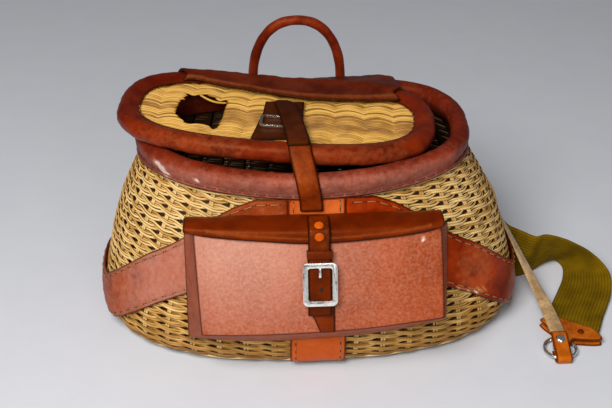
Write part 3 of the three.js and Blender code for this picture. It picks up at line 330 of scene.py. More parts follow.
@dataclass
class WovenWall:
    """The basket's woven wall, whose outside every leather piece follows."""

    width: float = 400
    front_depth: float = 124
    back_depth: float = 92
    height: float = 172
    thickness: float = 6
    rim_lift: float = 8

    def section(self, z: np.ndarray) -> dict[str, np.ndarray]:
        """The outline's sizes at a height.

        Args:
            z: Height above the base.

        Returns:
            The half width, the depths, the shift and the squareness by name.
        """
        share = np.clip(np.asarray(z, float) / self.height, 0, 1)

        def read(name: str) -> np.ndarray:
            """One column of the wall's table."""
            return read_smooth(WALL_ROWS, "height", name, share)

        return {
            "half": read("width") * self.width / 2,
            "front": read("front") * self.front_depth,
            "back": read("back") * self.back_depth,
            "shift": read("shift") * self.width / 2,
            "square_front": read("square_front"),
            "square_back": read("square_back"),
        }

    def point(self, turn: np.ndarray, z: np.ndarray, out: np.ndarray) -> np.ndarray:
        """A point on the wall's outside, moved outward.

        Args:
            turn: Angle round the basket in degrees.
            z: Height before the rim's wave.
            out: Distance outward.

        Returns:
            An array of points.
        """
        s = self.section(z)
        x, y, out_x, out_y = oblong(turn, s["half"], s["front"], s["back"], s["square_front"],
            s["square_back"])
        whole = np.mod(turn, 360)
        rise = self.rim_lift * read_smooth(RIM_WAVE, "turn", "rise", whole)
        lift = rise * np.minimum(1, np.asarray(z, float) / self.height) ** 4
        return stacked(s["shift"] + x + out_x * out, y + out_y * out, z + lift)

    def front_turn(self, x: np.ndarray, z: np.ndarray) -> np.ndarray:
        """The turn at which the wall's front has a given x.

        Args:
            x: Place to the right.
            z: Height.

        Returns:
            The turn in degrees.
        """
        s = self.section(z)
        u = np.clip((x - s["shift"]) / s["half"], -1, 1)
        deep = (1 - np.abs(u) ** s["square_front"]) ** (1 / s["square_front"])
        return np.degrees(np.arctan2(-deep, u))

    def back_turn(self, x: np.ndarray, z: np.ndarray) -> np.ndarray:
        """The turn at which the wall's back has a given x.

        Args:
            x: Place to the right.
            z: Height.

        Returns:
            The turn in degrees.
        """
        s = self.section(z)
        u = np.clip((x - s["shift"]) / s["half"], -1, 1)
        deep = (1 - np.abs(u) ** s["square_back"]) ** (1 / s["square_back"])
        return np.degrees(np.arctan2(deep, u))

    def front_point(self, x: np.ndarray, z: np.ndarray, out: np.ndarray) -> np.ndarray:
        """A point on the wall's front at a given x."""
        return self.point(self.front_turn(x, z), z, out)

    def even_turns(self, shares: np.ndarray, z: float) -> np.ndarray:
        """Turns that lie evenly round the outline.

        Args:
            shares: Shares of the way round, from 0 at the right side.
            z: Height at which they are even.

        Returns:
            Turns in degrees.
        """
        turns = np.linspace(0, 360, 1441)
        points = self.point(turns, np.full_like(turns, z), 0)
        steps = np.linalg.norm(np.diff(points, axis=0), axis=1)
        way = np.concatenate(([0], np.cumsum(steps)))
        whole = np.floor(shares)
        return np.interp((shares - whole) * way[-1], way, turns) + 360 * whole


@dataclass
class LidShape:
    """The lid's middle surface: a rounded oblong, turned a little on its soft hinge."""

    half_width: float = 146
    half_depth: float = 76
    squareness: float = 2.7
    shift: float = -30
    back: float = 1.2
    turn: float = -8
    height: float = 199
    slope: float = -0.04
    dip: float = 8
    wall: float = 5
    roll: float = 9

    def point(self, across: np.ndarray, along: np.ndarray, up: np.ndarray) -> np.ndarray:
        """A point of the lid in its own directions, in millimetres from its middle.

        Args:
            across: Distance to the right.
            along: Distance to the back.
            up: Height over the surface.

        Returns:
            An array of points.
        """
        a = math.radians(self.turn)
        rear = np.maximum(0, np.asarray(along, float) / self.half_depth)
        dip = self.dip * rear * rear * (1 - 2 * (np.asarray(across, float) / self.half_width) ** 2)
        return stacked(self.shift + across * math.cos(a) - along * math.sin(a),
            self.back + across * math.sin(a) + along * math.cos(a),
            self.height + self.slope * across - dip + up)

    def point_at(self, x: np.ndarray, y: np.ndarray, up: np.ndarray) -> np.ndarray:
        """The lid's surface over a place on the ground.

        Args:
            x: Place to the right.
            y: Place to the back.
            up: Height over the surface.

        Returns:
            An array of points.
        """
        a = math.radians(self.turn)
        dx = x - self.shift
        dy = y - self.back
        return self.point(dx * math.cos(a) + dy * math.sin(a), dy * math.cos(a) - dx * math.sin(a), up)

    def place(self, across: np.ndarray, along: np.ndarray, up: np.ndarray) -> np.ndarray:
        """A place in shares of the lid's half sizes, along the creel's own directions."""
        return self.point_at(self.shift + np.asarray(across) * self.half_width,
            self.back + np.asarray(along) * self.half_depth, up)

    def edge(self, turn: np.ndarray, inset: np.ndarray, up: np.ndarray) -> np.ndarray:
        """A point at a turn round the lid's outline, moved inward and up.

        Args:
            turn: Angle round the lid in degrees.
            inset: Distance inward from the outline.
            up: Height over the surface.

        Returns:
            An array of points.
        """
        depth = self.half_depth - inset
        x, y, _, _ = oblong(turn, self.half_width - inset, depth, depth, self.squareness, self.squareness)
        return self.point(x, y, up)

    def turn_at(self, x: float, rear: bool) -> float:
        """The turn at which the roll's middle has a given x, at the back or the front.

        Args:
            x: Place to the right.
            rear: Whether the turn at the back is meant.

        Returns:
            The turn in degrees.
        """
        low, high = 0.0, 180.0
        for _ in range(40):
            middle = (low + high) / 2
            if self.edge(middle if rear else -middle, self.roll, 0)[0] > x:
                low = middle
            else:
                high = middle
        return low if rear else -low


def curve_through(points: np.ndarray, steps: int) -> np.ndarray:
    """Places on a smooth curve through points, with the same number of steps between each two.

    Args:
        points: The points to pass through.
        steps: How many steps to take in all.

    Returns:
        An array of steps + 1 rows.
    """
    p = np.vstack([2 * points[0] - points[1], points, 2 * points[-1] - points[-2]])
    out = []
    last = len(points) - 1
    for t in np.linspace(0, last, steps + 1):
        i = min(int(t), last - 1)
        w = t - i
        a, b, c, d = p[i], p[i + 1], p[i + 2], p[i + 3]
        d0 = max(np.linalg.norm(b - a) ** 0.5, 1e-4)
        d1 = max(np.linalg.norm(c - b) ** 0.5, 1e-4)
        d2 = max(np.linalg.norm(d - c) ** 0.5, 1e-4)
        t1 = ((b - a) / d0 - (c - a) / (d0 + d1) + (c - b) / d1) * d1
        t2 = ((c - b) / d1 - (d - b) / (d1 + d2) + (d - c) / d2) * d1
        out.append(b + w * t1 + w * w * (3 * (c - b) - 2 * t1 - t2) + w**3 * (2 * (b - c) + t1 + t2))
    return np.array(out)


def resample(paths: np.ndarray, count: int) -> np.ndarray:
    """Rows of points made smooth and evenly spaced.

    Args:
        paths: Array of rows, points in a row and coordinates.
        count: Points that each row gets.

    Returns:
        An array of rows with count points each.
    """
    rows = []
    for path in paths:
        fine = curve_through(path, 8 * (len(path) - 1))
        way = np.concatenate(([0], np.cumsum(np.linalg.norm(np.diff(fine, axis=0), axis=1))))
        at = np.linspace(0, way[-1], count)
        rows.append(np.stack([np.interp(at, way, fine[:, k]) for k in range(3)], axis=1))
    return np.array(rows)


def ripple(points: np.ndarray, wavelength: float, seed: int) -> np.ndarray:
    """A smooth uneven height between about -1 and 1, from waves in many directions.

    Args:
        points: Where to read it.
        wavelength: Typical length of a wave in millimetres.
        seed: Which pattern to use.

    Returns:
        One height for each point.
    """
    rng = np.random.default_rng(seed)
    total = np.zeros(points.shape[:-1])
    for _ in range(7):
        way = unit(rng.normal(size=3)) * 2 * math.pi / (wavelength * rng.uniform(0.7, 1.6))
        total += np.sin(points @ way + rng.uniform(0, 2 * math.pi))
    return total / 3.2


# Meshes


@dataclass
class Shell:
    """Arrays that become one mesh: points in millimetres, faces, surface coordinates and paint values."""

    points: np.ndarray
    quads: np.ndarray
    uv: np.ndarray
    paint: dict[str, np.ndarray] = field(default_factory=dict)

    def joined(self, other: "Shell") -> "Shell":
        """This shell and another as one.

        Args:
            other: The shell to add.

        Returns:
            One shell with both.
        """
        paint = {name: np.concatenate([self.paint[name], other.paint[name]]) for name in self.paint}
        return Shell(np.vstack([self.points, other.points]),
            np.vstack([self.quads, other.quads + len(self.points)]), np.vstack([self.uv, other.uv]), paint)


def make_mesh(name: str, shell: Shell, material: bpy.types.Material) -> bpy.types.Object:
    """Makes a smooth-shaded object of a shell.

    Args:
        name: The object's name.
        shell: Its arrays.
        material: Its finish.

    Returns:
        The new object, linked into the scene.
    """
    mesh = bpy.data.meshes.new(name)
    quads = shell.quads.astype(np.int32)
    mesh.vertices.add(len(shell.points))
    mesh.vertices.foreach_set("co", (shell.points * MM).astype(np.float32).ravel())
    mesh.loops.add(quads.size)
    mesh.loops.foreach_set("vertex_index", quads.ravel())
    mesh.polygons.add(len(quads))
    mesh.polygons.foreach_set("loop_start", np.arange(0, quads.size, 4, dtype=np.int32))
    mesh.update(calc_edges=True)
    mesh.polygons.foreach_set("use_smooth", np.ones(len(quads), bool))
    layer = mesh.uv_layers.new(name="surface")
    layer.data.foreach_set("uv", shell.uv[quads.ravel()].astype(np.float32).ravel())
    for key, values in shell.paint.items():
        attribute = mesh.attributes.new(key, "FLOAT", "POINT")
        attribute.data.foreach_set("value", values.astype(np.float32))
    mesh.validate()
    obj = bpy.data.objects.new(name, mesh)
    bpy.context.scene.collection.objects.link(obj)
    mesh.materials.append(material)
    return obj


def faced_out(points: np.ndarray, quads: np.ndarray) -> np.ndarray:
    """Faces turned so that a closed surface faces outward.

    Args:
        points: The surface's points.
        quads: Its faces.

    Returns:
        The faces, turned outward.
    """
    a, b, c, d = (points[quads[:, k]] for k in range(4))
    middle = points.mean(axis=0)
    volume = np.einsum("ij,ij->i", a - middle, np.cross(b - middle, c - middle)).sum()
    volume += np.einsum("ij,ij->i", a - middle, np.cross(c - middle, d - middle)).sum()
    return quads if volume > 0 else quads[:, ::-1]


def grid_quads(rows: int, columns_: int, wrap_rows: bool, wrap_columns: bool) -> np.ndarray:
    """Faces of a grid of points.

    Args:
        rows: Rows of points.
        columns_: Points in a row.
        wrap_rows: Whether the last row joins the first.
        wrap_columns: Whether each row's end joins its start.

    Returns:
        An array of faces.
    """
    i = np.arange(rows if wrap_rows else rows - 1)[:, None]
    j = np.arange(columns_ if wrap_columns else columns_ - 1)[None, :]
    down, right = (i + 1) % rows, (j + 1) % columns_
    corners = (i * columns_ + j, i * columns_ + right, down * columns_ + right, down * columns_ + j)
    return np.stack([np.broadcast_to(c, (i.size, j.size)) for c in corners], axis=-1).reshape(-1, 4)


def grid_normals(grid: np.ndarray) -> np.ndarray:
    """The way up out of each point of a grid.

    Args:
        grid: Points, rows by columns.

    Returns:
        A unit vector for each point.
    """
    along = np.gradient(grid, axis=0)
    across = np.gradient(grid, axis=1)
    return unit(np.cross(along, across))


def plate(grid: np.ndarray, thickness: float, puff: np.ndarray | float = 0.0) -> Shell:
    """A sheet of leather over a grid of points, with rounded edges.

    Args:
        grid: Points of its underside, rows by columns.
        thickness: Its thickness on the side that the grid's normals show; negative for the other side.
        puff: Extra height of its upper side.

    Returns:
        A closed shell with the distance from its edge painted as "edge" in millimetres.
    """
    rows, cols = grid.shape[:2]
    up = grid_normals(grid) * np.sign(thickness)
    thick = abs(thickness)
    low = grid.copy()
    high = grid + up * (thick + np.broadcast_to(puff, (rows, cols)))[..., None]
    rim = np.zeros((rows, cols), bool)
    rim[[0, -1], :] = True
    rim[:, [0, -1]] = True
    low[rim] += up[rim] * thick * 0.2
    high[rim] -= up[rim] * thick * 0.2
    loop = [(0, j) for j in range(cols)] + [(i, cols - 1) for i in range(1, rows)]
    loop += [(rows - 1, j) for j in range(cols - 2, -1, -1)] + [(i, 0) for i in range(rows - 2, 0, -1)]
    ii = np.array([p[0] for p in loop])
    jj = np.array([p[1] for p in loop])
    inner_i = np.clip(ii, 1, rows - 2) if rows > 2 else ii
    inner_j = np.clip(jj, 1, cols - 2) if cols > 2 else jj
    outward = unit(grid[ii, jj] - grid[inner_i, inner_j])
    middle = (low[ii, jj] + high[ii, jj]) / 2 + outward * thick * 0.3
    count = rows * cols
    at = ii * cols + jj
    follow = np.roll(at, -1)
    ring = 2 * count + np.arange(len(loop))
    next_ring = np.roll(ring, -1)
    quads = grid_quads(rows, cols, False, False)
    sides = [
        np.stack([at, ring, next_ring, follow], axis=-1),
        np.stack([ring, at + count, follow + count, next_ring], axis=-1),
    ]
    points = np.vstack([low.reshape(-1, 3), high.reshape(-1, 3), middle])
    faces = np.vstack([quads, quads[:, ::-1] + count, *sides])
    step_j = np.linalg.norm(np.diff(grid, axis=1), axis=2)
    step_i = np.linalg.norm(np.diff(grid, axis=0), axis=2)
    way_j = np.concatenate([np.zeros((rows, 1)), np.cumsum(step_j, axis=1)], axis=1)
    way_i = np.concatenate([np.zeros((1, cols)), np.cumsum(step_i, axis=0)], axis=0)
    edge = np.minimum.reduce([way_j, way_j[:, -1:] - way_j, way_i, way_i[-1:] - way_i])
    uv = np.stack([way_j, way_i], axis=-1).reshape(-1, 2) * MM
    flat = edge.reshape(-1)
    return Shell(points, faced_out(points, faces), np.vstack([uv, uv, uv[at]]),
        {"edge": np.concatenate([flat, flat, np.zeros(len(loop))])})


def hoop(sections: np.ndarray) -> Shell:
    """A closed ring of leather whose closed sections follow one another.

    Args:
        sections: Sections by points by coordinates.

    Returns:
        A shell with its edge value left large.
    """
    around, size = sections.shape[:2]
    points = sections.reshape(-1, 3)
    quads = grid_quads(around, size, True, True)
    step = np.linalg.norm(np.diff(sections[:, :1], axis=0, append=sections[:1, :1]), axis=2)[:, 0]
    way = np.concatenate(([0], np.cumsum(step)[:-1]))
    uv = np.stack(np.broadcast_arrays(way[:, None], np.linspace(0, 60, size)[None, :]),
        axis=-1).reshape(-1, 2) * MM
    return Shell(points, faced_out(points, quads), uv, {"edge": np.full(len(points), 20.0)})


def rods(centres: np.ndarray, outs: np.ndarray, half_out: np.ndarray | float, half_side: np.ndarray | float,
        sides: int, closed: bool, tones: np.ndarray, shade_and_stain: float = 0.0) -> Shell:
    """Rods of oval section along paths.

    Args:
        centres: Rods by points by coordinates.
        outs: The way out at each point.
        half_out: Half thickness along the way out.
        half_side: Half thickness across it.
        sides: Faces round a rod.
        closed: Whether each rod's end joins its start.
        tones: Light or dark value of each rod.
        shade_and_stain: How much darker the side away from the way out is: painted shade on each rod's far
            side, which the willow finish also draws as deeper stain.

    Returns:
        A shell with "tone" painted on it.
    """
    count, length = centres.shape[:2]
    if closed:
        along = np.roll(centres, -1, axis=1) - np.roll(centres, 1, axis=1)
    else:
        along = np.gradient(centres, axis=1)
    along = unit(along)
    out = unit(outs - along * np.sum(outs * along, axis=-1, keepdims=True))
    side = np.cross(along, out)
    angle = np.linspace(0, 2 * math.pi, sides, endpoint=False)
    size_out = np.broadcast_to(half_out, (count, length)).astype(float).copy()
    size_side = np.broadcast_to(half_side, (count, length)).astype(float).copy()
    if not closed:
        size_out[:, [0, -1]] *= 0.05
        size_side[:, [0, -1]] *= 0.05
    ring = (centres[:, :, None, :] + out[:, :, None, :] * (size_out[..., None] * np.cos(angle))[...,
        None] + side[:, :, None, :] * (size_side[..., None] * np.sin(angle))[..., None])
    base = grid_quads(length, sides, closed, True)
    quads = (base[None] + (np.arange(count) * length * sides)[:, None, None]).reshape(-1, 4)[:, ::-1]
    steps = np.linalg.norm(np.diff(centres, axis=1, prepend=centres[:, :1]), axis=2)
    way = np.cumsum(steps, axis=1)
    uv = np.stack(np.broadcast_arrays(way[:, :, None], np.linspace(0, 8, sides)[None, None, :]), axis=-1)
    # Painted shade: the side of each rod away from the way out gets a higher tone, which the willow finish
    # draws darker
    tone = tones[:, None, None] + shade_and_stain * np.clip(0.2 - np.cos(angle), 0, 1)[None, None, :]
    tone = np.broadcast_to(tone, (count, length, sides))
    return Shell(ring.reshape(-1, 3), quads, uv.reshape(-1, 2) * MM, {"tone": tone.reshape(-1).copy()})


def stitches(path: np.ndarray, out: np.ndarray, pitch: float, share: float, thread: float,
        hole: float = 0.7) -> tuple[Shell, Shell]:
    """A run of stitches along a path, and the holes at their ends.

    Args:
        path: Points of the seam.
        out: The way out of the leather at each.
        pitch: Distance from hole to hole.
        share: How much of it the thread shows.
        thread: Half the thread's thickness.
        hole: Half a hole's length.

    Returns:
        The thread's shell and the holes' shell.
    """
    way = np.concatenate(([0], np.cumsum(np.linalg.norm(np.diff(path, axis=0), axis=1))))
    count = max(2, int(way[-1] / pitch))
    start = np.arange(count) * way[-1] / count

    def read(values: np.ndarray, at: np.ndarray) -> np.ndarray:
        """Values along the seam at given distances."""
        return np.stack([np.interp(at, way, values[:, k]) for k in range(3)], axis=-1)

    at = start[:, None] + np.array([0, 0.2, 0.5, 0.8, 1])[None, :] * pitch * share
    centres = read(path, at)
    outs = unit(read(out, at))
    lift = np.array([-0.5, 0.4, 0.75, 0.4, -0.5]) * thread
    sew = rods(centres + outs * lift[None, :, None], outs, thread, thread, 6, False, np.zeros(count))
    # Painted shade: each hole is a flat near-black patch on the leather, for the shade inside it
    places = np.stack([start, start + pitch * share], axis=1)
    middle = read(path, places).reshape(-1, 1, 3)
    normal = unit(read(out, places)).reshape(-1, 1, 3)
    sewn = read(path, np.minimum(places + 0.3, way[-1])).reshape(-1, 1, 3) - read(path,
        places - 0.3).reshape(-1, 1, 3)
    along = unit(sewn)
    run = np.array([-1, -0.9, 0, 0.9, 1])[None, :, None] * hole
    holes = rods(middle + along * run, np.broadcast_to(normal, (len(middle), 5, 3)), 0.3, hole * 0.85, 8,
        False, np.zeros(len(middle)))
    return sew, holes


# Finishes


def linear(colour: str) -> tuple[float, float, float, float]:
    """An sRGB hex colour such as "a8401f" as linear red, green, blue and alpha.

    Args:
        colour: The hex value.

    Returns:
        The linear colour.
    """
    parts = [int(colour[i : i + 2], 16) / 255 for i in (0, 2, 4)]
    lit = [p / 12.92 if p <= 0.04045 else ((p + 0.055) / 1.055) ** 2.4 for p in parts]
    return lit[0], lit[1], lit[2], 1.0


def add_node(tree: bpy.types.NodeTree, kind: str, inputs: dict | None = None,
        **settings: object) -> bpy.types.Node:
    """Adds a node with its settings, values and links.

    Args:
        tree: Where it goes.
        kind: Blender's name of the node's type, without the ShaderNode that all start with.
        inputs: Socket name or number to a value or to another node's output.
        settings: The node's own properties.

    Returns:
        The new node.
    """
    made = tree.nodes.new(f"ShaderNode{kind}")
    for key, value in settings.items():
        setattr(made, key, value)
    for key, value in (inputs or {}).items():
        if isinstance(value, bpy.types.NodeSocket):
            tree.links.new(value, made.inputs[key])
        else:
            made.inputs[key].default_value = value
    return made


def start_material(name: str) -> tuple[bpy.types.Material, bpy.types.NodeTree, bpy.types.Node]:
    """A new material with its empty tree and its output node.

    Args:
        name: The material's name.

    Returns:
        The material, its tree and its output.
    """
    material = bpy.data.materials.new(name)
    material.use_nodes = True
    tree = material.node_tree
    tree.nodes.clear()
    return material, tree, tree.nodes.new("ShaderNodeOutputMaterial")


@dataclass(frozen=True)
class Leather:
    """Vegetable-tanned cowhide, dyed, oiled and worn: cloudy dye, rubbed pale places and burnished edges."""

    name: str
    dye: str
    deep: str
    rubbed: str
    edge: str
    rub: float = 0.3
    roughness: float = 0.42
    grain_mm: float = 1.4
    cloud_mm: float = 26
    bump: float = 0.3
    edge_mm: float = 1.0
    crease_mm: float = 0
    fleck_mm: float = 5.5

    def material(self) -> bpy.types.Material:
        """Builds the finish.

        Returns:
            A material that reads the paint values "edge", "wear_and_highlight" and "dirt_and_shade".
        """
        material, tree, output = start_material(self.name)
        place = add_node(tree, "TexCoord").outputs["Object"]
        edge = add_node(tree, "Attribute", attribute_name="edge").outputs["Fac"]
        wear_and_highlight = add_node(tree, "Attribute", attribute_name="wear_and_highlight").outputs["Fac"]
        dirt_and_shade = add_node(tree, "Attribute", attribute_name="dirt_and_shade").outputs["Fac"]
        # The dye took unevenly, in clouds a few centimetres wide
        clouds = add_node(tree, "TexNoise", {"Vector": place, "Scale": 1000 / self.cloud_mm, "Detail": 4.0,
            "Roughness": 0.6}).outputs["Fac"]
        cloudy = add_node(tree, "MapRange", {"Value": clouds, "From Min": 0.38, "From Max": 0.66}).outputs[0]
        base = add_node(tree, "Mix", {0: cloudy, 6: linear(self.dye), 7: linear(self.deep)},
            data_type="RGBA").outputs[2]
        # Rubbed places, and painted highlights laid in the same rubbed colour: the finish breaks up into
        # flecks a few millimetres wide
        flecks = add_node(tree, "TexNoise", {"Vector": place, "Scale": 1000 / self.fleck_mm, "Detail": 8.0,
            "Roughness": 0.72}).outputs["Fac"]
        spread_ = add_node(tree, "Math", {0: flecks, 1: wear_and_highlight}, operation="ADD").outputs[0]
        top = 1.0 - 0.36 * self.rub
        rubbed = add_node(tree, "MapRange", {"Value": spread_, "From Min": top - 0.34,
            "From Max": top + 0.42}).outputs[0]
        worn_and_highlit = add_node(tree, "Mix", {0: rubbed, 6: base, 7: linear(self.rubbed)},
            data_type="RGBA").outputs[2]
        # Wear beyond 1.2 stands for drops of whitewash
        white = add_node(tree, "MapRange", {"Value": spread_, "From Min": 1.75, "From Max": 1.95,
            "To Max": 0.8}).outputs[0]
        worn_and_highlit = add_node(tree, "Mix", {0: white, 6: worn_and_highlit, 7: linear("e6dcd0")}, data_type="RGBA").outputs[2]
        # Hands and oil darken it in fine specks of the grain; the painted dark value adds soft patches, which
        # are dirt in some places and painted shade in others
        specks = add_node(tree, "TexNoise", {"Vector": place, "Scale": 1000 / 1.7, "Detail": 3.0,
            "Roughness": 0.7}).outputs["Fac"]
        speck = add_node(tree, "MapRange", {"Value": specks, "From Min": 0.6, "From Max": 0.8,
            "To Max": 0.32}).outputs[0]
        dark = add_node(tree, "Math", {0: speck, 1: dirt_and_shade}, operation="ADD", use_clamp=True).outputs[0]
        soiled_and_shaded = add_node(tree, "Mix", {0: dark, 6: worn_and_highlit, 7: linear(self.deep)}, data_type="RGBA").outputs[2]
        # The cut edge is burnished darker than the grain side
        rim = add_node(tree, "MapRange", {"Value": edge, "From Min": self.edge_mm * 1.5,
            "From Max": self.edge_mm * 0.3, "To Max": 0.9}).outputs[0]
        colour = add_node(tree, "Mix", {0: rim, 6: soiled_and_shaded, 7: linear(self.edge)}, data_type="RGBA").outputs[2]
        gloss = add_node(tree, "MapRange", {"Value": rubbed, "To Min": self.roughness,
            "To Max": self.roughness + 0.2}).outputs[0]
        # Hair-cell grain, drawn a little coarser than life so that it shows
        grain = add_node(tree, "TexVoronoi", {"Vector": place, "Scale": 1000 / self.grain_mm}).outputs[0]
        height = add_node(tree, "Math", {0: grain, 1: flecks}, operation="ADD").outputs[0]
        if self.crease_mm:
            # Tooled creases that run down the band
            wave = add_node(tree, "TexWave", {"Vector": place, "Scale": 1000 / self.crease_mm / 20,
                "Distortion": 6.0, "Detail": 3.0, "Detail Scale": 2.0}, bands_direction="X").outputs["Fac"]
            height = add_node(tree, "Math", {0: wave, 1: height}, operation="ADD").outputs[0]
        relief = add_node(tree, "Bump", {"Height": height, "Strength": self.bump,
            "Distance": 0.35 * MM}).outputs[0]
        shader = add_node(tree, "BsdfPrincipled", {"Base Color": colour, "Roughness": gloss, "Normal": relief,
            "Specular IOR Level": 0.18, "Specular Tint": linear("ffb478")})
        tree.links.new(shader.outputs[0], output.inputs[0])
        return material


@dataclass(frozen=True)
class Willow:
    """Peeled and split willow rod, aged to gold: pale and dark rods side by side, streaked along the grain."""

    name: str
    pale: str
    gold: str
    dark: str
    deep_shade: str = "241204"
    streak_mm: float = 0.7

    def material(self) -> bpy.types.Material:
        """Builds the finish.

        Returns:
            A material that reads the paint value "tone".
        """
        material, tree, output = start_material(self.name)
        coords = add_node(tree, "TexCoord")
        tone = add_node(tree, "Attribute", attribute_name="tone").outputs["Fac"]
        # Streaks follow the rod: short across it and long along it
        along = add_node(tree, "Mapping", {"Vector": coords.outputs["UV"],
            "Scale": (60, 1000 / self.streak_mm, 1)}).outputs[0]
        streaks = add_node(tree, "TexNoise", {"Vector": along, "Scale": 1.0, "Detail": 3.0}).outputs["Fac"]
        patches = add_node(tree, "TexNoise", {"Vector": coords.outputs["Object"], "Scale": 1000 / 14,
            "Detail": 4.0}).outputs["Fac"]
        mixed = add_node(tree, "Math", {0: tone, 1: patches}, operation="ADD").outputs[0]
        aged = add_node(tree, "MapRange", {"Value": mixed, "From Min": 0.2, "From Max": 0.95}).outputs[0]
        light = add_node(tree, "Mix", {0: aged, 6: linear(self.pale), 7: linear(self.gold)},
            data_type="RGBA").outputs[2]
        # Dark stain along the streaks, deepened where the tone carries painted shade
        shade_and_stain = add_node(tree, "Math", {0: streaks, 1: mixed}, operation="ADD").outputs[0]
        stained_and_shaded = add_node(tree, "MapRange", {"Value": shade_and_stain, "From Min": 1.05, "From Max": 1.9,
            "To Max": 0.85}).outputs[0]
        outside = add_node(tree, "Mix", {0: stained_and_shaded, 6: light, 7: linear(self.dark)},
            data_type="RGBA").outputs[2]
        # Painted shade: past a tone of 1, on the rods' far sides and on the splints behind the stakes, the
        # willow goes nearly black
        deep_shade = add_node(tree, "MapRange", {"Value": tone, "From Min": 1.0, "From Max": 2.4,
            "To Max": 0.92}).outputs[0]
        colour = add_node(tree, "Mix", {0: deep_shade, 6: outside, 7: linear(self.deep_shade)},
            data_type="RGBA").outputs[2]
        relief = add_node(tree, "Bump", {"Height": streaks, "Strength": 0.35,
            "Distance": 0.3 * MM}).outputs[0]
        shader = add_node(tree, "BsdfPrincipled", {"Base Color": colour, "Roughness": 0.5, "Normal": relief,
            "Specular IOR Level": 0.4})
        tree.links.new(shader.outputs[0], output.inputs[0])
        return material


@dataclass(frozen=True)
class Suede:
    """Flesh side of a strap leather: a short grey-brown nap that scatters light."""

    name: str
    nap: str
    rubbed: str

    def material(self) -> bpy.types.Material:
        """Builds the finish.

        Returns:
            The new material.
        """
        material, tree, output = start_material(self.name)
        place = add_node(tree, "TexCoord").outputs["Object"]
        fibres = add_node(tree, "TexNoise", {"Vector": place, "Scale": 1000 / 2.6, "Detail": 6.0,
            "Roughness": 0.8}).outputs["Fac"]
        patch = add_node(tree, "TexNoise", {"Vector": place, "Scale": 1000 / 12, "Detail": 3.0}).outputs[0]
        both = add_node(tree, "Math", {0: fibres, 1: patch}, operation="MULTIPLY").outputs[0]
        mixed = add_node(tree, "MapRange", {"Value": both, "From Min": 0.2, "From Max": 0.34}).outputs[0]
        colour = add_node(tree, "Mix", {0: mixed, 6: linear(self.nap), 7: linear(self.rubbed)},
            data_type="RGBA").outputs[2]
        relief = add_node(tree, "Bump", {"Height": fibres, "Strength": 0.6, "Distance": 0.4 * MM}).outputs[0]
        shader = add_node(tree, "BsdfPrincipled", {"Base Color": colour, "Roughness": 0.9,
            "Sheen Weight": 0.25, "Normal": relief})
        tree.links.new(shader.outputs[0], output.inputs[0])
        return material


@dataclass(frozen=True)
class CottonWebbing:
    """Heavy cotton webbing, dyed olive: ribs along its length, crossed by the weft."""

    name: str
    dye: str
    faded: str
    rib_mm: float = 3.2
    weft_mm: float = 1.6

    def material(self) -> bpy.types.Material:
        """Builds the finish.

        Returns:
            The new material.
        """
        material, tree, output = start_material(self.name)
        coords = add_node(tree, "TexCoord")
        # A wave texture at scale 1 repeats about every 0.31 of its coordinate
        ribs = add_node(tree, "TexWave", {"Vector": coords.outputs["UV"], "Scale": 314 / self.rib_mm,
            "Distortion": 0.6}, bands_direction="X").outputs["Fac"]
        weft = add_node(tree, "TexWave", {"Vector": coords.outputs["UV"], "Scale": 314 / self.weft_mm,
            "Distortion": 1.5}, bands_direction="Y").outputs["Fac"]
        fade = add_node(tree, "TexNoise", {"Vector": coords.outputs["Object"], "Scale": 1000 / 18,
            "Detail": 5.0}).outputs["Fac"]
        faded = add_node(tree, "MapRange", {"Value": fade, "From Min": 0.35, "From Max": 0.7}).outputs[0]
        dyed = add_node(tree, "Mix", {0: faded, 6: linear(self.dye), 7: linear(self.faded)},
            data_type="RGBA").outputs[2]
        # Painted shade: the colour darkens in the grooves between the ribs, with a slight painted highlight on
        # their crests
        rib_shade = add_node(tree, "MapRange", {"Value": ribs, "To Min": 0.72, "To Max": 1.08}).outputs[0]
        colour = add_node(tree, "VectorMath", {0: dyed, 3: rib_shade}, operation="SCALE").outputs[0]
        height = add_node(tree, "Math", {0: ribs, 1: weft}, operation="ADD").outputs[0]
        relief = add_node(tree, "Bump", {"Height": height, "Strength": 0.6, "Distance": 0.5 * MM}).outputs[0]
        shader = add_node(tree, "BsdfPrincipled", {"Base Color": colour, "Roughness": 0.95,
            "Specular IOR Level": 0.1, "Normal": relief})
        tree.links.new(shader.outputs[0], output.inputs[0])
        return material


@dataclass(frozen=True)
class Nickel:
    """Nickel-plated steel, tumbled smooth and dulled by years of handling."""

    name: str
    bright: str
    dull: str
    roughness: float = 0.26

    def material(self) -> bpy.types.Material:
        """Builds the finish.

        Returns:
            The new material.
        """
        material, tree, output = start_material(self.name)
        place = add_node(tree, "TexCoord").outputs["Object"]
        spots = add_node(tree, "TexNoise", {"Vector": place, "Scale": 1000 / 3.0, "Detail": 6.0}).outputs[0]
        spotted = add_node(tree, "MapRange", {"Value": spots, "From Min": 0.52, "From Max": 0.75}).outputs[0]
        colour = add_node(tree, "Mix", {0: spotted, 6: linear(self.bright), 7: linear(self.dull)},
            data_type="RGBA").outputs[2]
        gloss = add_node(tree, "MapRange", {"Value": spots, "From Min": 0.3, "From Max": 0.8,
            "To Min": self.roughness - 0.06, "To Max": self.roughness + 0.2}).outputs[0]
        relief = add_node(tree, "Bump", {"Height": spots, "Strength": 0.05, "Distance": 0.2 * MM}).outputs[0]
        shader = add_node(tree, "BsdfPrincipled", {"Base Color": colour, "Metallic": 1.0, "Roughness": gloss,
            "Normal": relief})
        tree.links.new(shader.outputs[0], output.inputs[0])
        return material


